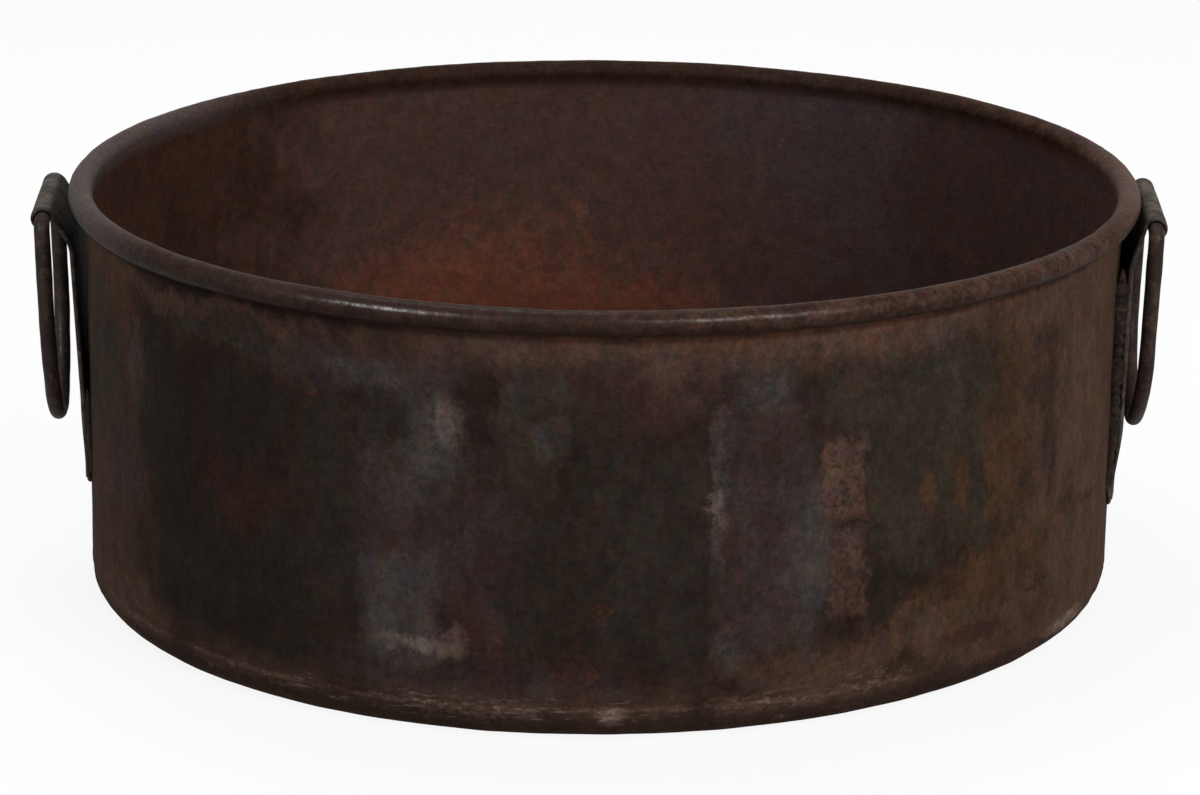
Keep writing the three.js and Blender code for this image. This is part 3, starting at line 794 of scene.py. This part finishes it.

# %% [markdown]
# ## Smears in their places
# Most of the wall's look is a few dozen smears: runs of soot, grey patches worn by rubbing that are
# also a painted sheen, islands of rust. Each is an ellipse of azimuth and height whose edge is made
# ragged by noise. The azimuth is counted from the front of the pot, and no smear reaches the back,
# where it jumps from 180 to -180 degrees.

# %% Smears on the outside: azimuth, height, half width, half height, in degrees and mm
SOOT_SMEARS = [
    (-52, 170, 4.2, 82), (-47, 76, 7, 42), (-39, 66, 8.5, 42), (-38, 198, 4.6, 32), (31, 90, 2.8, 20),
    (98, 150, 7, 80), (121, 176, 5, 60), (146, 120, 8, 70), (-96, 150, 7, 84), (-124, 120, 9, 60),
    (-152, 176, 6, 66)]
ASH_SMEARS = [
    (-28, 136, 3.8, 92), (-6, 112, 3.6, 60), (3, 122, 4.4, 86), (8, 116, 3.2, 80), (-33, 90, 4, 44),
    (1, 196, 2.6, 20), (-21, 204, 4, 22), (84, 120, 3, 60), (-78, 150, 2, 70), (152, 150, 6, 90)]
OLIVE_SMEARS = [
    (-5.5, 204, 4, 42), (27, 218, 3.6, 24), (33, 176, 6, 82), (39, 182, 5.6, 78), (43, 122, 3.6, 26),
    (-68, 190, 7, 60), (-40, 246, 9, 12), (108, 110, 9, 70), (-110, 190, 10, 50), (136, 210, 9, 40)]
PLUM_SMEARS = [
    (-25, 243, 12, 18), (-3, 28, 8, 10), (-19, 140, 6, 90), (-12, 120, 5, 80), (-17, 38, 10, 16),
    (16.5, 150, 6.2, 100), (-62, 120, 4, 30), (86, 180, 9, 60), (160, 100, 8, 80), (-84, 100, 8, 60),
    (-138, 110, 9, 70), (5, 238, 8, 22)]
MAROON_SMEARS = [
    (5, 234, 6.5, 24), (-12, 76, 3.4, 36), (-1, 36, 4, 16), (-38, 140, 5, 22), (-36, 232, 4, 12),
    (9, 44, 9, 12), (128, 60, 8, 20)]
GREY_SHEEN_SMEARS = [
    (-19, 196, 5, 34), (-22, 244, 6, 12), (-6, 236, 2.4, 12), (37, 222, 2.4, 26), (-57, 196, 1.6, 26),
    (21.3, 118, 2.6, 58), (104, 220, 7, 26), (-104, 80, 8, 30), (150, 200, 5, 40)]
OCHRE_SMEARS = [
    (48, 192, 4.2, 58), (46, 72, 13, 28), (-66, 240, 9, 20), (112, 50, 12, 28), (-160, 66, 8, 40)]
RUST_SMEARS = [
    (44, 262, 14, 9), (-64, 33, 11, 14), (66, 60, 8, 36), (24, 40, 11, 18), (134, 64, 12, 34),
    (-142, 52, 14, 30), (38, 44, 14, 20), (-52, 262, 24, 9)]

# %% Thin marks, kept where they are
GREY_SHEEN_MARKS = [(16.5, 238, 2.6, 14), (11.8, 170, 0.8, 60), (13, 60, 1.8, 14), (-16.5, 206, 2.2, 30),
              (-5.6, 203, 0.9, 13)]
TONGUES = [(35.5, 149, 1.3, 15), (40.2, 150, 1, 17), (44.8, 166, 1.1, 22), (45, 127, 1.5, 8)]
DARK_MARKS = [
    (54.3, 232, 2.4, 12), (55, 190, 1.3, 44), (56.5, 140, 1.1, 26), (60, 107, 2.8, 6), (66, 98, 4, 4),
    (50.5, 74, 0.8, 16), (54, 58, 3, 3), (17, 190, 1.1, 14)]
PALE_MARKS = [
    (-14.8, 62, 1.6, 9), (-19, 61, 3.6, 5), (-15, 212, 1.1, 15), (11.6, 160, 0.6, 8)]
MAROON_MARKS = [(42.8, 38, 5.4, 7)]
ORANGE_MARKS = [(-10, 70, 0.7, 15), (-0.9, 40, 0.45, 9), (0.4, 90, 0.6, 8), (-30, 218, 0.5, 9)]
FOOT_SCUFFS = [(61.5, 14, 5, 4.2), (1.2, 17, 1.2, 5)]
FOOT_FLECKS = [(17, 22, 5, 7), (29, 25, 4, 8), (-58, 18, 4, 3), (-14, 20, 9, 7)]
PITTED_PATCHES = [(22.5, 27.8, 141, 198), (23.9, 28.2, 74, 133)]
GREY_SHEEN_PATCHES = [(-24.3, -16.4, 46, 120)]

# %% Masks from places
DRIFT = 4.4


def largest(f, masks):
    total = masks[0]
    for mask in masks[1:]:
        total = f.most(total, mask)
    return total


def smears(f, spot, places, soft, broken=0.0):
    """The largest of the places' ellipses at a (degrees, mm) spot: 1 within, fading over soft. broken
    is added to the distance, to crumble the edges."""
    masks = []
    for azimuth, z, wide, tall in places:
        away = f.node("ShaderNodeVectorMath", {"operation": "MULTIPLY_ADD"}, {
            0: spot, 1: (1 / wide, 1 / tall, 0), 2: (-azimuth / wide, -z / tall, 0)})
        reach = f.node("ShaderNodeVectorMath", {"operation": "LENGTH"}, {0: away}, out="Value")
        masks.append(f.ramp(reach + broken, 1 + soft, 1 - soft))
    return largest(f, masks)


def between(f, value, low, high, soft):
    """1 where the value lies between low and high, fading over soft on both sides."""
    return f.ramp(value, low - soft, low + soft) * f.ramp(value, high + soft, high - soft)


def patches(f, around, height, places, soft, soft_up):
    """The largest of the places' upright boxes: from azimuth, to azimuth, from height, to height."""
    return largest(f, [between(f, around, left, right, soft) * between(f, height, low, high, soft_up)
                       for left, right, low, high in places])


def azimuth_from(f, towards_back):
    """Azimuth in degrees, 0 at the front of the pot, or at the back, and positive towards +X."""
    y = f.y if towards_back else -1 * f.y
    return f.node("ShaderNodeMath", {"operation": "ARCTAN2"}, {0: f.x, 1: y}) * math.degrees(1)


def pan_height(f):
    """Height in mm on the true round pan: the dropped side of the rim is lifted back."""
    lift = f.x * (RIM_DROP / (2 * WALL_TOP_R * POT_HEIGHT * MM))
    return f.z * (1 / MM) * (1 + lift)


def drift(f, colour):
    """Small patches of the iron lean to orange or violet by warm, and to green or red by green."""
    warm = (f.noise(12, 6, 0.72, (1, 1, 0.7), 53) - 0.5) * DRIFT
    green = (f.noise(8, 5, 0.75, (1, 1, 0.8), 57) - 0.5) * DRIFT * 1.8
    return f.tinted(colour, 1 + 0.2 * warm - 0.04 * green, 1 + 0.11 * green,
                    1 - 0.22 * warm - 0.04 * green)


# %% [markdown]
# ## The smoked wall, outside
# Brown is laid first, umber on one flank and rust on the other, then the smears one kind at a time,
# and last the thin marks. Wide smears are pushed about by coarse noise and thin ones hardly at all,
# fine noise crumbles every edge, and the hue drifts in small patches.

# %% Outside colour
WIDE_PUSH = (13, 90)
NEAR_PUSH = (5, 34)


def outside_colour(f, around, height):
    """The smoked wall's colour, with the masks of its pitted patch and of its fine lines. Pushes are
    in degrees and mm."""
    coarse = f.noise(46, 8, 0.66, (1, 1, 0.8), 3)
    coarse_up = f.noise(46, 8, 0.66, (1, 1, 0.8), 11)
    fine = f.noise(13, 7, 0.74, (1, 1, 0.8), 63)
    fine_up = f.noise(13, 7, 0.74, (1, 1, 0.8), 65)
    wide_spot = f.spot(around + (coarse - 0.5) * WIDE_PUSH[0], height + (coarse_up - 0.5) * WIDE_PUSH[1])
    near_around = around + (fine - 0.5) * NEAR_PUSH[0]
    near_height = height + (fine_up - 0.5) * NEAR_PUSH[1]
    near_spot = f.spot(near_around, near_height)
    broken = (f.noise(10, 7, 0.76, (1, 1, 0.7), 13) - 0.5) * 1.5
    cloud = f.noise(30, 7, 0.7, (1, 1, 0.7), 23)
    thick = f.ramp(cloud, 0.36, 0.58)
    thin = f.ramp(cloud, 0.62, 0.42)
    runs = f.ramp(f.noise(5, 4, 0.65, (1, 1, 0.12), 25), 0.42, 0.60)
    lines = f.ramp(f.noise(2.4, 4, 0.65, (0.14, 0.14, 1), 27), 0.34, 0.66)
    frayed = f.ramp(f.noise(4.5, 6, 0.76, shift=67), 0.42, 0.60)
    chalky = f.ramp(f.noise(9, 6, 0.7, (1, 1, 0.6), 67), 0.34, 0.66)
    flank = between(f, around + (cloud - 0.5) * 24, -150, -57, 8)
    rusty = between(f, around + (cloud - 0.5) * 30, 50, 140, 10)
    colour = f.mix(flank, SMOKE_AND_SHADE_BROWN, UMBER)
    colour = f.mix(rusty * 0.95, colour, RUST_BROWN)
    top = f.ramp(height + (coarse_up - 0.5) * 80, 228, 266) * between(f, around, -24, 150, 12)
    colour = f.mix(top * 0.7, colour, RUST_BROWN)
    brow = f.ramp(near_height + (coarse_up - 0.5) * 70, 238, 270) * between(f, around, -17, 40, 7)

    def wide(places, soft):
        return smears(f, wide_spot, places, soft, broken)

    def near(places, soft):
        return smears(f, near_spot, places, soft, broken * 0.5)

    pitted = patches(f, near_around, near_height, PITTED_PATCHES, 0.5, 5)
    # Grey patch worn by rubbing, also painted as a sheen.
    rubbed_sheen = patches(f, near_around, near_height, GREY_SHEEN_PATCHES, 0.8, 9)
    layers = [(PLUM, wide(PLUM_SMEARS, 0.5) * (0.6 + 0.4 * thick)),
              (MAROON, wide(MAROON_SMEARS, 0.5) * (0.34 + 0.36 * thin)),
              (OCHRE, wide(OCHRE_SMEARS, 0.4) * (0.5 + 0.5 * thick)),
              (RUST_BROWN, wide(RUST_SMEARS, 0.5) * (0.6 + 0.4 * thin)),
              (RUBBED_SHEEN_GREY, f.most(wide(GREY_SHEEN_SMEARS, 0.6) * (0.35 + 0.4 * thick),
                                   rubbed_sheen * (0.55 + 0.2 * thin))),
              (OLIVE, wide(OLIVE_SMEARS, 0.22) * (0.75 + 0.2 * thin)),
              (ASH, wide(ASH_SMEARS, 0.4) * (0.7 + 0.3 * thick)),
              (SOOT, wide(SOOT_SMEARS, 0.4) * (0.74 + 0.26 * thick) * (1 - 0.2 * runs)),
              (RUST_PINK, brow * (0.42 + 0.36 * frayed)),
              (RUST_PINK, pitted * (0.54 + 0.28 * frayed)),
              (OCHRE, near(TONGUES, 0.3) * 0.9),
              (RUBBED_SHEEN_GREY, near(GREY_SHEEN_MARKS, 0.7) * (0.4 + 0.45 * frayed)),
              (SMOKE_AND_SHADE_BROWN, near(DARK_MARKS, 0.7) * 0.62),
              (MAROON, near(MAROON_MARKS, 0.4) * 0.9),
              (RUST_ORANGE, near(ORANGE_MARKS, 0.6) * 0.2 * frayed),
              (PALE_SCUFF, near(PALE_MARKS, 0.7) * (0.15 + 0.22 * chalky))]
    for tone, share in layers:
        colour = f.mix(share, colour, tone)
    streaks = f.ramp(f.noise(4, 5, 0.7, (1, 1, 0.1), 30), 0.56, 0.68)
    flecks = f.ramp(f.noise(7, 6, 0.74, shift=29), 0.57, 0.70)
    colour = f.mix(streaks * 0.18, colour, OCHRE)
    colour = f.mix(flecks * 0.2, colour, RUST_PINK)
    dim = f.ramp(f.noise(20, 7, 0.74, (1, 1, 0.6), 69), 0.40, 0.60)
    return drift(f, f.scaled(colour, 0.84 + 0.3 * dim)), pitted, lines


# %% [markdown]
# ## The wall's foot
# Years of standing and dragging have worn the seam above the knuckle to a pale ridge, with scuffs in
# clusters above and below it. The ridge is also lightened as a painted highlight, and the knuckle under
# it is darkened as painted shade. The same wear has to run on from the wall over the weld to the dish.

# %% Wear along the foot
def foot_wear(f, around, height, colour):
    """Brown just above the weld and painted shade below it, pale pink on the ridge between, partly wear
    and partly a painted highlight, and small pale flecks in clusters."""
    cluster = f.noise(55, 5, 0.6, shift=31)
    nick = f.noise(6.5, 6, 0.72, (0.6, 0.6, 1.2), 33)
    worn = f.ramp(cluster, 0.38, 0.54)
    above = f.ramp(height + (cluster - 0.5) * 60, 44, 22) * (0.2 + 0.4 * worn)
    colour = f.mix(above, colour, RUST_BROWN)
    # Painted shade: below the weld the knuckle turns under and is darkened.
    colour = f.mix(f.ramp(height + (nick - 0.5) * 8, 17, 12) * 0.6, colour, SMOKE_AND_SHADE_BROWN)
    # The pale pink line is worn iron and also a painted highlight where the knuckle starts to turn.
    ridge = between(f, height + (nick - 0.5) * 8, BASE_SEAM_Z + 0.4, BASE_SEAM_Z + 3.6, 1.4)
    dragged = between(f, around, -66, 30, 8)
    colour = f.mix(ridge * (0.1 + 0.3 * worn + 0.3 * dragged * worn), colour, RUST_PINK)
    chip = f.ramp(f.noise(3.6, 6, 0.76, (0.5, 0.5, 1.2), 77), 0.50, 0.62)
    colour = f.mix(ridge * worn * chip * dragged * 0.3, colour, PALE_SCUFF)
    scratch = f.ramp(f.noise(5, 3, 0.6, (0.22, 0.22, 1.9), 79), 0.60, 0.68)
    scratch = scratch * between(f, height, 11, 27, 2) * between(f, around, -34, 6, 4)
    colour = f.mix(scratch * 0.3, colour, PALE_SCUFF)
    low = f.ramp(height, 38, 28)
    colour = f.mix(low * worn * f.ramp(nick, 0.58, 0.68) * 0.22, colour, PALE_SCUFF)
    foot_spot = f.spot(around, height)
    scuffed = smears(f, foot_spot, FOOT_SCUFFS, 0.6, (nick - 0.5) * 2.4)
    flecked = smears(f, foot_spot, FOOT_FLECKS, 0.8, (nick - 0.5) * 2.4)
    colour = f.mix(flecked * chip * 0.26, colour, PALE_SCUFF)
    return f.mix(scuffed * (0.3 + 0.45 * chip), colour, PALE_SCUFF)


# %% [markdown]
# ## The wall, inside
# The inside is brown at one end, pink brown opposite the eye, violet and then plum at the other end.
# Low down it glows with rust, in a flame whose edge is lighter than its middle. An attribute on the
# mesh says which face of the sheet the shader is on.

# %% Inside colour
GLOW_FLAMES = [(-13, 92, 18, 62), (-23, 98, 8, 36), (-1, 84, 13, 46)]
GLOW_HEARTS = [(-14, 82, 17, 46), (0, 76, 10, 36)]
OVEN_WARM = [(20, 128, 13, 38)]
OVEN_SPARK = [(49, 172, 5, 4)]


def inside_colour(f, height):
    around = azimuth_from(f, True)
    cloud = f.noise(90, 6, 0.62, (1, 1, 1.2), 35)
    flame = f.noise(34, 7, 0.68, (1.4, 1.4, 1), 37)
    wisps = (f.noise(16, 7, 0.72, (1.3, 1.3, 0.7), 51) - 0.5) * 1.4
    blotch = f.ramp(f.noise(15, 7, 0.74, shift=39), 0.36, 0.64)
    smoke = f.ramp(f.noise(42, 7, 0.7, (1, 1, 0.6), 49), 0.44, 0.60)
    turned = around + (cloud - 0.5) * 70
    colour = f.mix(between(f, turned, -42, 132, 12), OVEN_BROWN, OVEN_PINK)
    colour = f.mix(between(f, turned, 15, 120, 9), colour, OVEN_VIOLET)
    colour = f.mix(between(f, turned, 34, 112, 7), colour, OVEN_PLUM)
    colour = f.mix(smoke * between(f, turned, -150, -36, 12) * 0.48, colour, SMOKE_AND_SHADE_BROWN)
    colour = f.mix(smoke * 0.16, colour, OVEN_BROWN)
    spot = f.spot(around + (flame - 0.5) * 34, height + (cloud - 0.5) * 60 + (flame - 0.5) * 56)
    colour = f.mix(smears(f, spot, OVEN_WARM, 0.9, wisps) * 0.9, colour, OVEN_PINK)
    colour = f.mix(f.ramp(height + (cloud - 0.5) * 120, 96, 40) * 0.45, colour, GLOW_RED)
    flames = smears(f, spot, GLOW_FLAMES, 0.8, wisps) * (0.55 + 0.36 * blotch)
    colour = f.mix(flames, colour, GLOW_ORANGE)
    hearts = smears(f, spot, GLOW_HEARTS, 0.7, wisps) * (0.5 + 0.34 * blotch)
    colour = f.mix(hearts, colour, GLOW_RED)
    colour = f.mix(smears(f, spot, OVEN_SPARK, 0.9, wisps) * 0.25, colour, RUST_ORANGE)
    specks = f.ramp(f.noise(5, 5, 0.75, shift=41), 0.56, 0.68)
    streaks = f.ramp(f.noise(7, 6, 0.74, (1, 1, 0.25), 55), 0.54, 0.68)
    colour = f.mix(streaks * 0.14, colour, RUST_BROWN)
    return drift(f, f.mix(specks * 0.14, f.scaled(colour, 0.88 + 0.24 * blotch), RUST_BROWN))


# %% [markdown]
# ## The rolled rim
# Hands and lids keep the roll dark and shiny at the front, so it has a thin clear coat that breaks up
# over the hammer marks. Its far left is dull grey, and its right is rusty. Its outer underside is
# darkened as painted shade.

# %% Rolled rim colour and gloss
def rim_colour(f, around):
    blotch = f.ramp(f.noise(15, 7, 0.7, shift=43), 0.40, 0.62)
    specks = f.ramp(f.noise(3.6, 4, 0.7, shift=45), 0.40, 0.64)
    rusty = between(f, around, 6, 128, 16)
    greyed = between(f, around, -128, -60, 12)
    pale_end = between(f, around, 76, 104, 10)
    colour = f.mix(blotch * (0.35 + 0.6 * rusty), RIM_DARK, RUST_BROWN)
    colour = f.mix(greyed * 0.85, colour, RIM_GREY)
    colour = f.mix(pale_end * 0.8, colour, RIM_PINK)
    colour = f.mix(specks * rusty * 0.14, colour, RUST_ORANGE)
    # Painted shade: the outer underside of the roll is darkened towards the wall.
    below = f.ramp(pan_height(f), 288.5, 278) * f.attribute("outer")
    return drift(f, f.scaled(colour, (0.78 + 0.4 * specks) * (1 - 0.58 * below)))


# %% The wall's finish
SHEET_SHINE = 0.012
RIM_COAT_ROUGHNESS = 0.26


def grit(f, lines):
    """Specks, grain and pits that run on from the wall to the base, and their sum as a texture."""
    speck = f.ramp(f.noise(6, 5, 0.75, shift=5), 0.34, 0.66)
    grain = f.ramp(f.noise(2.2, 4, 0.7, shift=47), 0.30, 0.70)
    pits = f.ramp(f.noise(3.8, 3, 0.5, shift=61), 0.30, 0.48)
    return speck, grain, pits, 0.36 * speck + 0.24 * grain + 0.09 * lines


def wall_finish():
    f = Finish("smoked_iron")
    height, around = pan_height(f), azimuth_from(f, False)
    outside, rust, lines = outside_colour(f, around, height)
    outside = foot_wear(f, around, height, outside)
    rolled = f.attribute("rolled")
    inside = f.attribute("inside")
    speck, grain, pits, texture = grit(f, lines)
    colour = f.mix(inside, f.scaled(outside, 0.66 + texture),
                   f.scaled(inside_colour(f, height), 0.74 + 0.7 * texture))
    # Painted shade: the outer wall just under the roll is darkened, where the roll shades it.
    neck_shade = f.ramp(height, 268.5, 272) * f.attribute("outer")
    colour = f.scaled(colour, 1 - 0.42 * neck_shade)
    colour = f.mix(rolled, colour, rim_colour(f, around))
    under = f.ramp(height, 264, 270) * f.ramp(f.noise(12, 6, 0.7, shift=7), 0.44, 0.64)
    under = under * (1 - rolled) * (1 - inside) * between(f, around, -6, 50, 8)
    colour = f.mix(under * 0.25, colour, RUST_ORANGE)
    rubbed_sheen = f.ramp(grain * speck, 0.05, 0.45)
    shiny = between(f, around, -60, 60, 14) * (0.03 + 0.08 * rubbed_sheen)
    f.feed(f.shader.inputs["Coat Weight"], rolled * shiny)
    f.shader.inputs["Coat Roughness"].default_value = RIM_COAT_ROUGHNESS
    colour = f.scaled(colour, 1 - 0.3 * rust * (1 - rolled) * (1 - pits))
    relief = speck * 0.3 + grain * 0.2 + lines * 0.06 + pits * (0.15 + 0.9 * rust)
    hammered = f.noise(7, 3, 0.6, shift=83) * rolled
    relief = relief * (1 - 0.45 * rolled) + 0.9 * hammered
    return f.done(colour, 0.78 - 0.3 * rolled, f.bump(relief, 0.8), SHEET_SHINE)


wall_material = wall_finish()
wall.data.materials.append(wall_material)
seam.data.materials.append(wall_material)

# %% [markdown]
# ## The base
# Outside, the dish carries on the wall's smears and the wear of its foot. Inside it is the rustiest
# part of the pot, so it runs on from the glow.

# %% The base's finish
def base_finish():
    f = Finish("scuffed_base_iron")
    height, around = pan_height(f), azimuth_from(f, False)
    outer, rust, lines = outside_colour(f, around, height)
    outer = foot_wear(f, around, height, outer)
    speck, grain, pits, texture = grit(f, lines)
    cloud = f.noise(80, 6, 0.62, shift=71)
    blotch = f.ramp(f.noise(18, 7, 0.72, shift=73), 0.36, 0.64)
    inner = f.mix(f.ramp(cloud, 0.40, 0.74) * 0.8, OVEN_PINK, GLOW_RED)
    inner = f.mix(f.ramp(cloud, 0.66, 0.34) * (0.3 + 0.3 * blotch), inner, OVEN_BROWN)
    colour = f.mix(f.attribute("inside"), outer, drift(f, inner))
    colour = f.scaled(colour, 0.66 + texture)
    relief = speck * 0.3 + grain * 0.2 + pits * (0.3 + 0.6 * rust)
    return f.done(colour, 0.74, f.bump(relief, 0.7), SHEET_SHINE)


base_material = base_finish()
base.data.materials.append(base_material)
base_weld.data.materials.append(base_material)

# %% [markdown]
# ## Beads, plates and rods
# The smaller pieces share one recipe: two tones mixed by blotchy noise, rust and specks over them,
# and a bumpy surface. Welds are rough and blackened by soot, and rods are handled smooth. A strap is
# grey at its eye, near black with painted shade on the slope below it, which an attribute on its mesh
# marks, and smoked brown further down. The fade to brown is given as two heights in mm.

# %% The small pieces' finishes
SMALL_SHINE = 0.06
SMOKE_FADE = (262, 244)
ROD_COAT_ROUGHNESS = 0.3


def small_finish(name, light, dark, roughness, rust_share, bump, shift, oil=0.0, plate=False,
                 blotches=20):
    f = Finish(name)
    blotch = f.noise(blotches, 7, 0.7, shift=shift)
    colour = f.mix(f.ramp(blotch, 0.38, 0.60), light, dark)
    rust = f.ramp(f.noise(11, 6, 0.7, shift=shift + 1), 0.50, 0.62)
    colour = f.mix(rust * rust_share, colour, RUST_BROWN)
    if plate:
        smoked = f.mix(f.ramp(blotch, 0.34, 0.66), UMBER, SMOKE_AND_SHADE_BROWN)
        smoked = f.mix(rust * 0.7, smoked, RUST_BROWN)
        colour = f.mix(f.ramp(f.z * (1 / MM), *SMOKE_FADE) * 0.85, colour, smoked)
        # Painted shade: the marked slope under the eye gets the weld's dark tone.
        colour = f.mix(f.attribute("slope_shade"), colour, WELD_DARK)
        colour = f.mix(f.attribute("edge") * f.ramp(blotch, 0.60, 0.42) * 0.8, colour, PLATE_GREY)
    speck = f.ramp(f.noise(5, 5, 0.75, shift=shift + 2), 0.34, 0.66)
    grain = f.ramp(f.noise(2.2, 4, 0.7, shift=shift + 3), 0.30, 0.70)
    colour = f.scaled(colour, 0.5 + 0.55 * speck + 0.45 * grain)
    pits = f.ramp(f.noise(3, 3, 0.5, shift=shift + 4), 0.30, 0.46)
    if oil:
        f.feed(f.shader.inputs["Coat Weight"], oil * (0.2 + 0.8 * f.ramp(speck * grain, 0.1, 0.5)))
        f.shader.inputs["Coat Roughness"].default_value = ROD_COAT_ROUGHNESS
    relief = speck * 0.45 + grain * 0.25 + pits * 0.3
    return f.done(colour, roughness + 0.12 * rust, f.bump(relief, bump), SMALL_SHINE)


rod_finish = small_finish("handled_rod_iron", ROD_BROWN, ROD_DARK, 0.6, 0.7, 0.3, 90, oil=0.05)
plate_finish = small_finish("hammered_plate_iron", PLATE_GREY, PLATE_DARK, 0.66, 0.4, 0.5, 100, plate=True)
weld_finish = small_finish("weld_iron", WELD_BROWN, WELD_DARK, 0.75, 0.35, 1.3, 110, blotches=9)
for side in HANDLES:
    for name, finish in (("ring_rod", rod_finish), ("strap_plate", plate_finish),
                         ("front_bead", weld_finish), ("rear_bead", weld_finish),
                         ("bottom_bead", weld_finish)):
        bpy.data.objects[f"{side}_{name}"].data.materials.append(finish)

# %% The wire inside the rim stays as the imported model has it
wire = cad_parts["rim_wire"]
wire.data.materials.clear()
wire.data.materials.append(rod_finish)

# %% [markdown]
# ## Floor, light and camera
# The pot stands on a plain white floor under soft light. To the camera and in reflections the floor
# is nearly full white, and the small rest of it takes the shadow. The world is white behind it, and
# lights the pot less than it shows. Two lamps light the pot, and two only put glints on the rim.

# %% The floor
FLOOR_HALF = 12.0
FLOOR_WHITE = (0.86, 0.86, 0.86)
FLOOR_GLOW = 0.88


def seeing_rays(tree):
    """A socket that is 1 for camera, glossy and transmission rays and 0 for the rest."""
    path = tree.nodes.new("ShaderNodeLightPath")
    shown = path.outputs["Is Camera Ray"]
    for kind in ("Is Glossy Ray", "Is Transmission Ray"):
        larger = tree.nodes.new("ShaderNodeMath")
        larger.operation = "MAXIMUM"
        tree.links.new(shown, larger.inputs[0])
        tree.links.new(path.outputs[kind], larger.inputs[1])
        shown = larger.outputs[0]
    return shown


def make_floor():
    mesh = bpy.data.meshes.new("floor")
    corners = [(x * FLOOR_HALF, y * FLOOR_HALF, 0) for x, y in ((-1, -1), (1, -1), (1, 1), (-1, 1))]
    mesh.from_pydata(corners, [], [(0, 1, 2, 3)])
    floor = add_object("floor", mesh)
    f = Finish("white_floor")
    f.shader.inputs["Base Color"].default_value = (*FLOOR_WHITE, 1)
    f.shader.inputs["Roughness"].default_value = 0.9
    white = f.node("ShaderNodeEmission", sockets={"Color": (1.0, 1.0, 1.0), "Strength": 1.0})
    shown = f.node("ShaderNodeMixShader", sockets={
        0: Signal(f, seeing_rays(f.tree)) * FLOOR_GLOW, 1: Signal(f, f.shader.outputs[0]), 2: white})
    f.feed(f.tree.nodes["Material Output"].inputs["Surface"], shown)
    mesh.materials.append(f.material)


make_floor()

# %% The world
WORLD_LIGHT = 0.55


def make_world():
    world = bpy.data.worlds.new("white_room")
    world.use_nodes = True
    tree = world.node_tree
    background = tree.nodes["Background"]
    strength = tree.nodes.new("ShaderNodeMapRange")
    strength.inputs["To Min"].default_value = WORLD_LIGHT
    strength.inputs["To Max"].default_value = 1.0
    tree.links.new(seeing_rays(tree), strength.inputs["Value"])
    tree.links.new(strength.outputs[0], background.inputs["Strength"])
    background.inputs["Color"].default_value = (1, 1, 1, 1)
    bpy.context.scene.world = world


make_world()

# %% Lamps
LAMPS = {
    "overhead": dict(place=(-0.35, 0.75, 2.6), aim=(0, 0, 0.2), size=(1.2, 1.2), watts=30),
    "front_right": dict(place=(2.0, -2.6, 1.9), aim=(0, 0, 0.15), size=(2.2, 2.2), watts=72),
    "left_strip": dict(place=(-1.72, -1.90, 1.61), aim=(-0.13, -0.36, 0.29), size=(0.7, 0.9),
                       watts=230, glint=True),
    "right_strip": dict(place=(1.32, -2.18, 1.71), aim=(0.09, -0.38, 0.29), size=(1.3, 0.9),
                        watts=120, glint=True),
}


def stand(thing, place, axes):
    """Puts a lamp or the camera at a place, with its own directions as the columns of axes."""
    thing.matrix_world = Matrix([[*row, p] for row, p in zip(axes, place)] + [[0, 0, 0, 1]])


def make_lamp(name, place, aim, size, watts, glint=False):
    """A soft lamp of a size in metres, turned to face a point. A glint shows in shiny surfaces and
    adds no soft light."""
    light = bpy.data.lights.new(name, "AREA")
    light.shape = "RECTANGLE"
    light.size, light.size_y = size
    light.energy = watts
    lamp = add_object(name, light)
    lamp.visible_diffuse = not glint
    place, aim = np.array(place, float), np.array(aim, float)
    away = (place - aim) / np.linalg.norm(place - aim)
    sideways = np.cross((0, 0, 1), away)
    sideways /= np.linalg.norm(sideways)
    stand(lamp, place, np.stack([sideways, np.cross(away, sideways), away], 1))


for name, settings in LAMPS.items():
    make_lamp(name, **settings)

# %% The camera
CAMERA_PLACE = (0.0, -2.9554, 0.9938)
CAMERA_YAW = 0.000277
CAMERA_PITCH = 0.28645
CAMERA_ROLL = 0.000551
FOCAL_PIXELS = 4227.0
FRAME_WIDTH = 1200
SENSOR_MM = 36.0


def make_camera():
    data = bpy.data.cameras.new("camera")
    data.sensor_width = SENSOR_MM
    data.lens = FOCAL_PIXELS / FRAME_WIDTH * SENSOR_MM
    data.clip_end = 100
    camera = add_object("camera", data)
    look = np.array([math.sin(CAMERA_YAW) * math.cos(CAMERA_PITCH),
                     math.cos(CAMERA_YAW) * math.cos(CAMERA_PITCH), -math.sin(CAMERA_PITCH)])
    right = np.cross(look, (0, 0, 1))
    right /= np.linalg.norm(right)
    up = np.cross(right, look)
    turned_right = right * math.cos(CAMERA_ROLL) + up * math.sin(CAMERA_ROLL)
    turned_up = up * math.cos(CAMERA_ROLL) - right * math.sin(CAMERA_ROLL)
    stand(camera, CAMERA_PLACE, np.stack([turned_right, turned_up, -look], 1))
    bpy.context.scene.camera = camera
    print("lens", round(data.lens, 1), "mm")


make_camera()
bpy.context.scene.view_settings.view_transform = "Standard"

# %% Update the scene
bpy.context.view_layer.update()
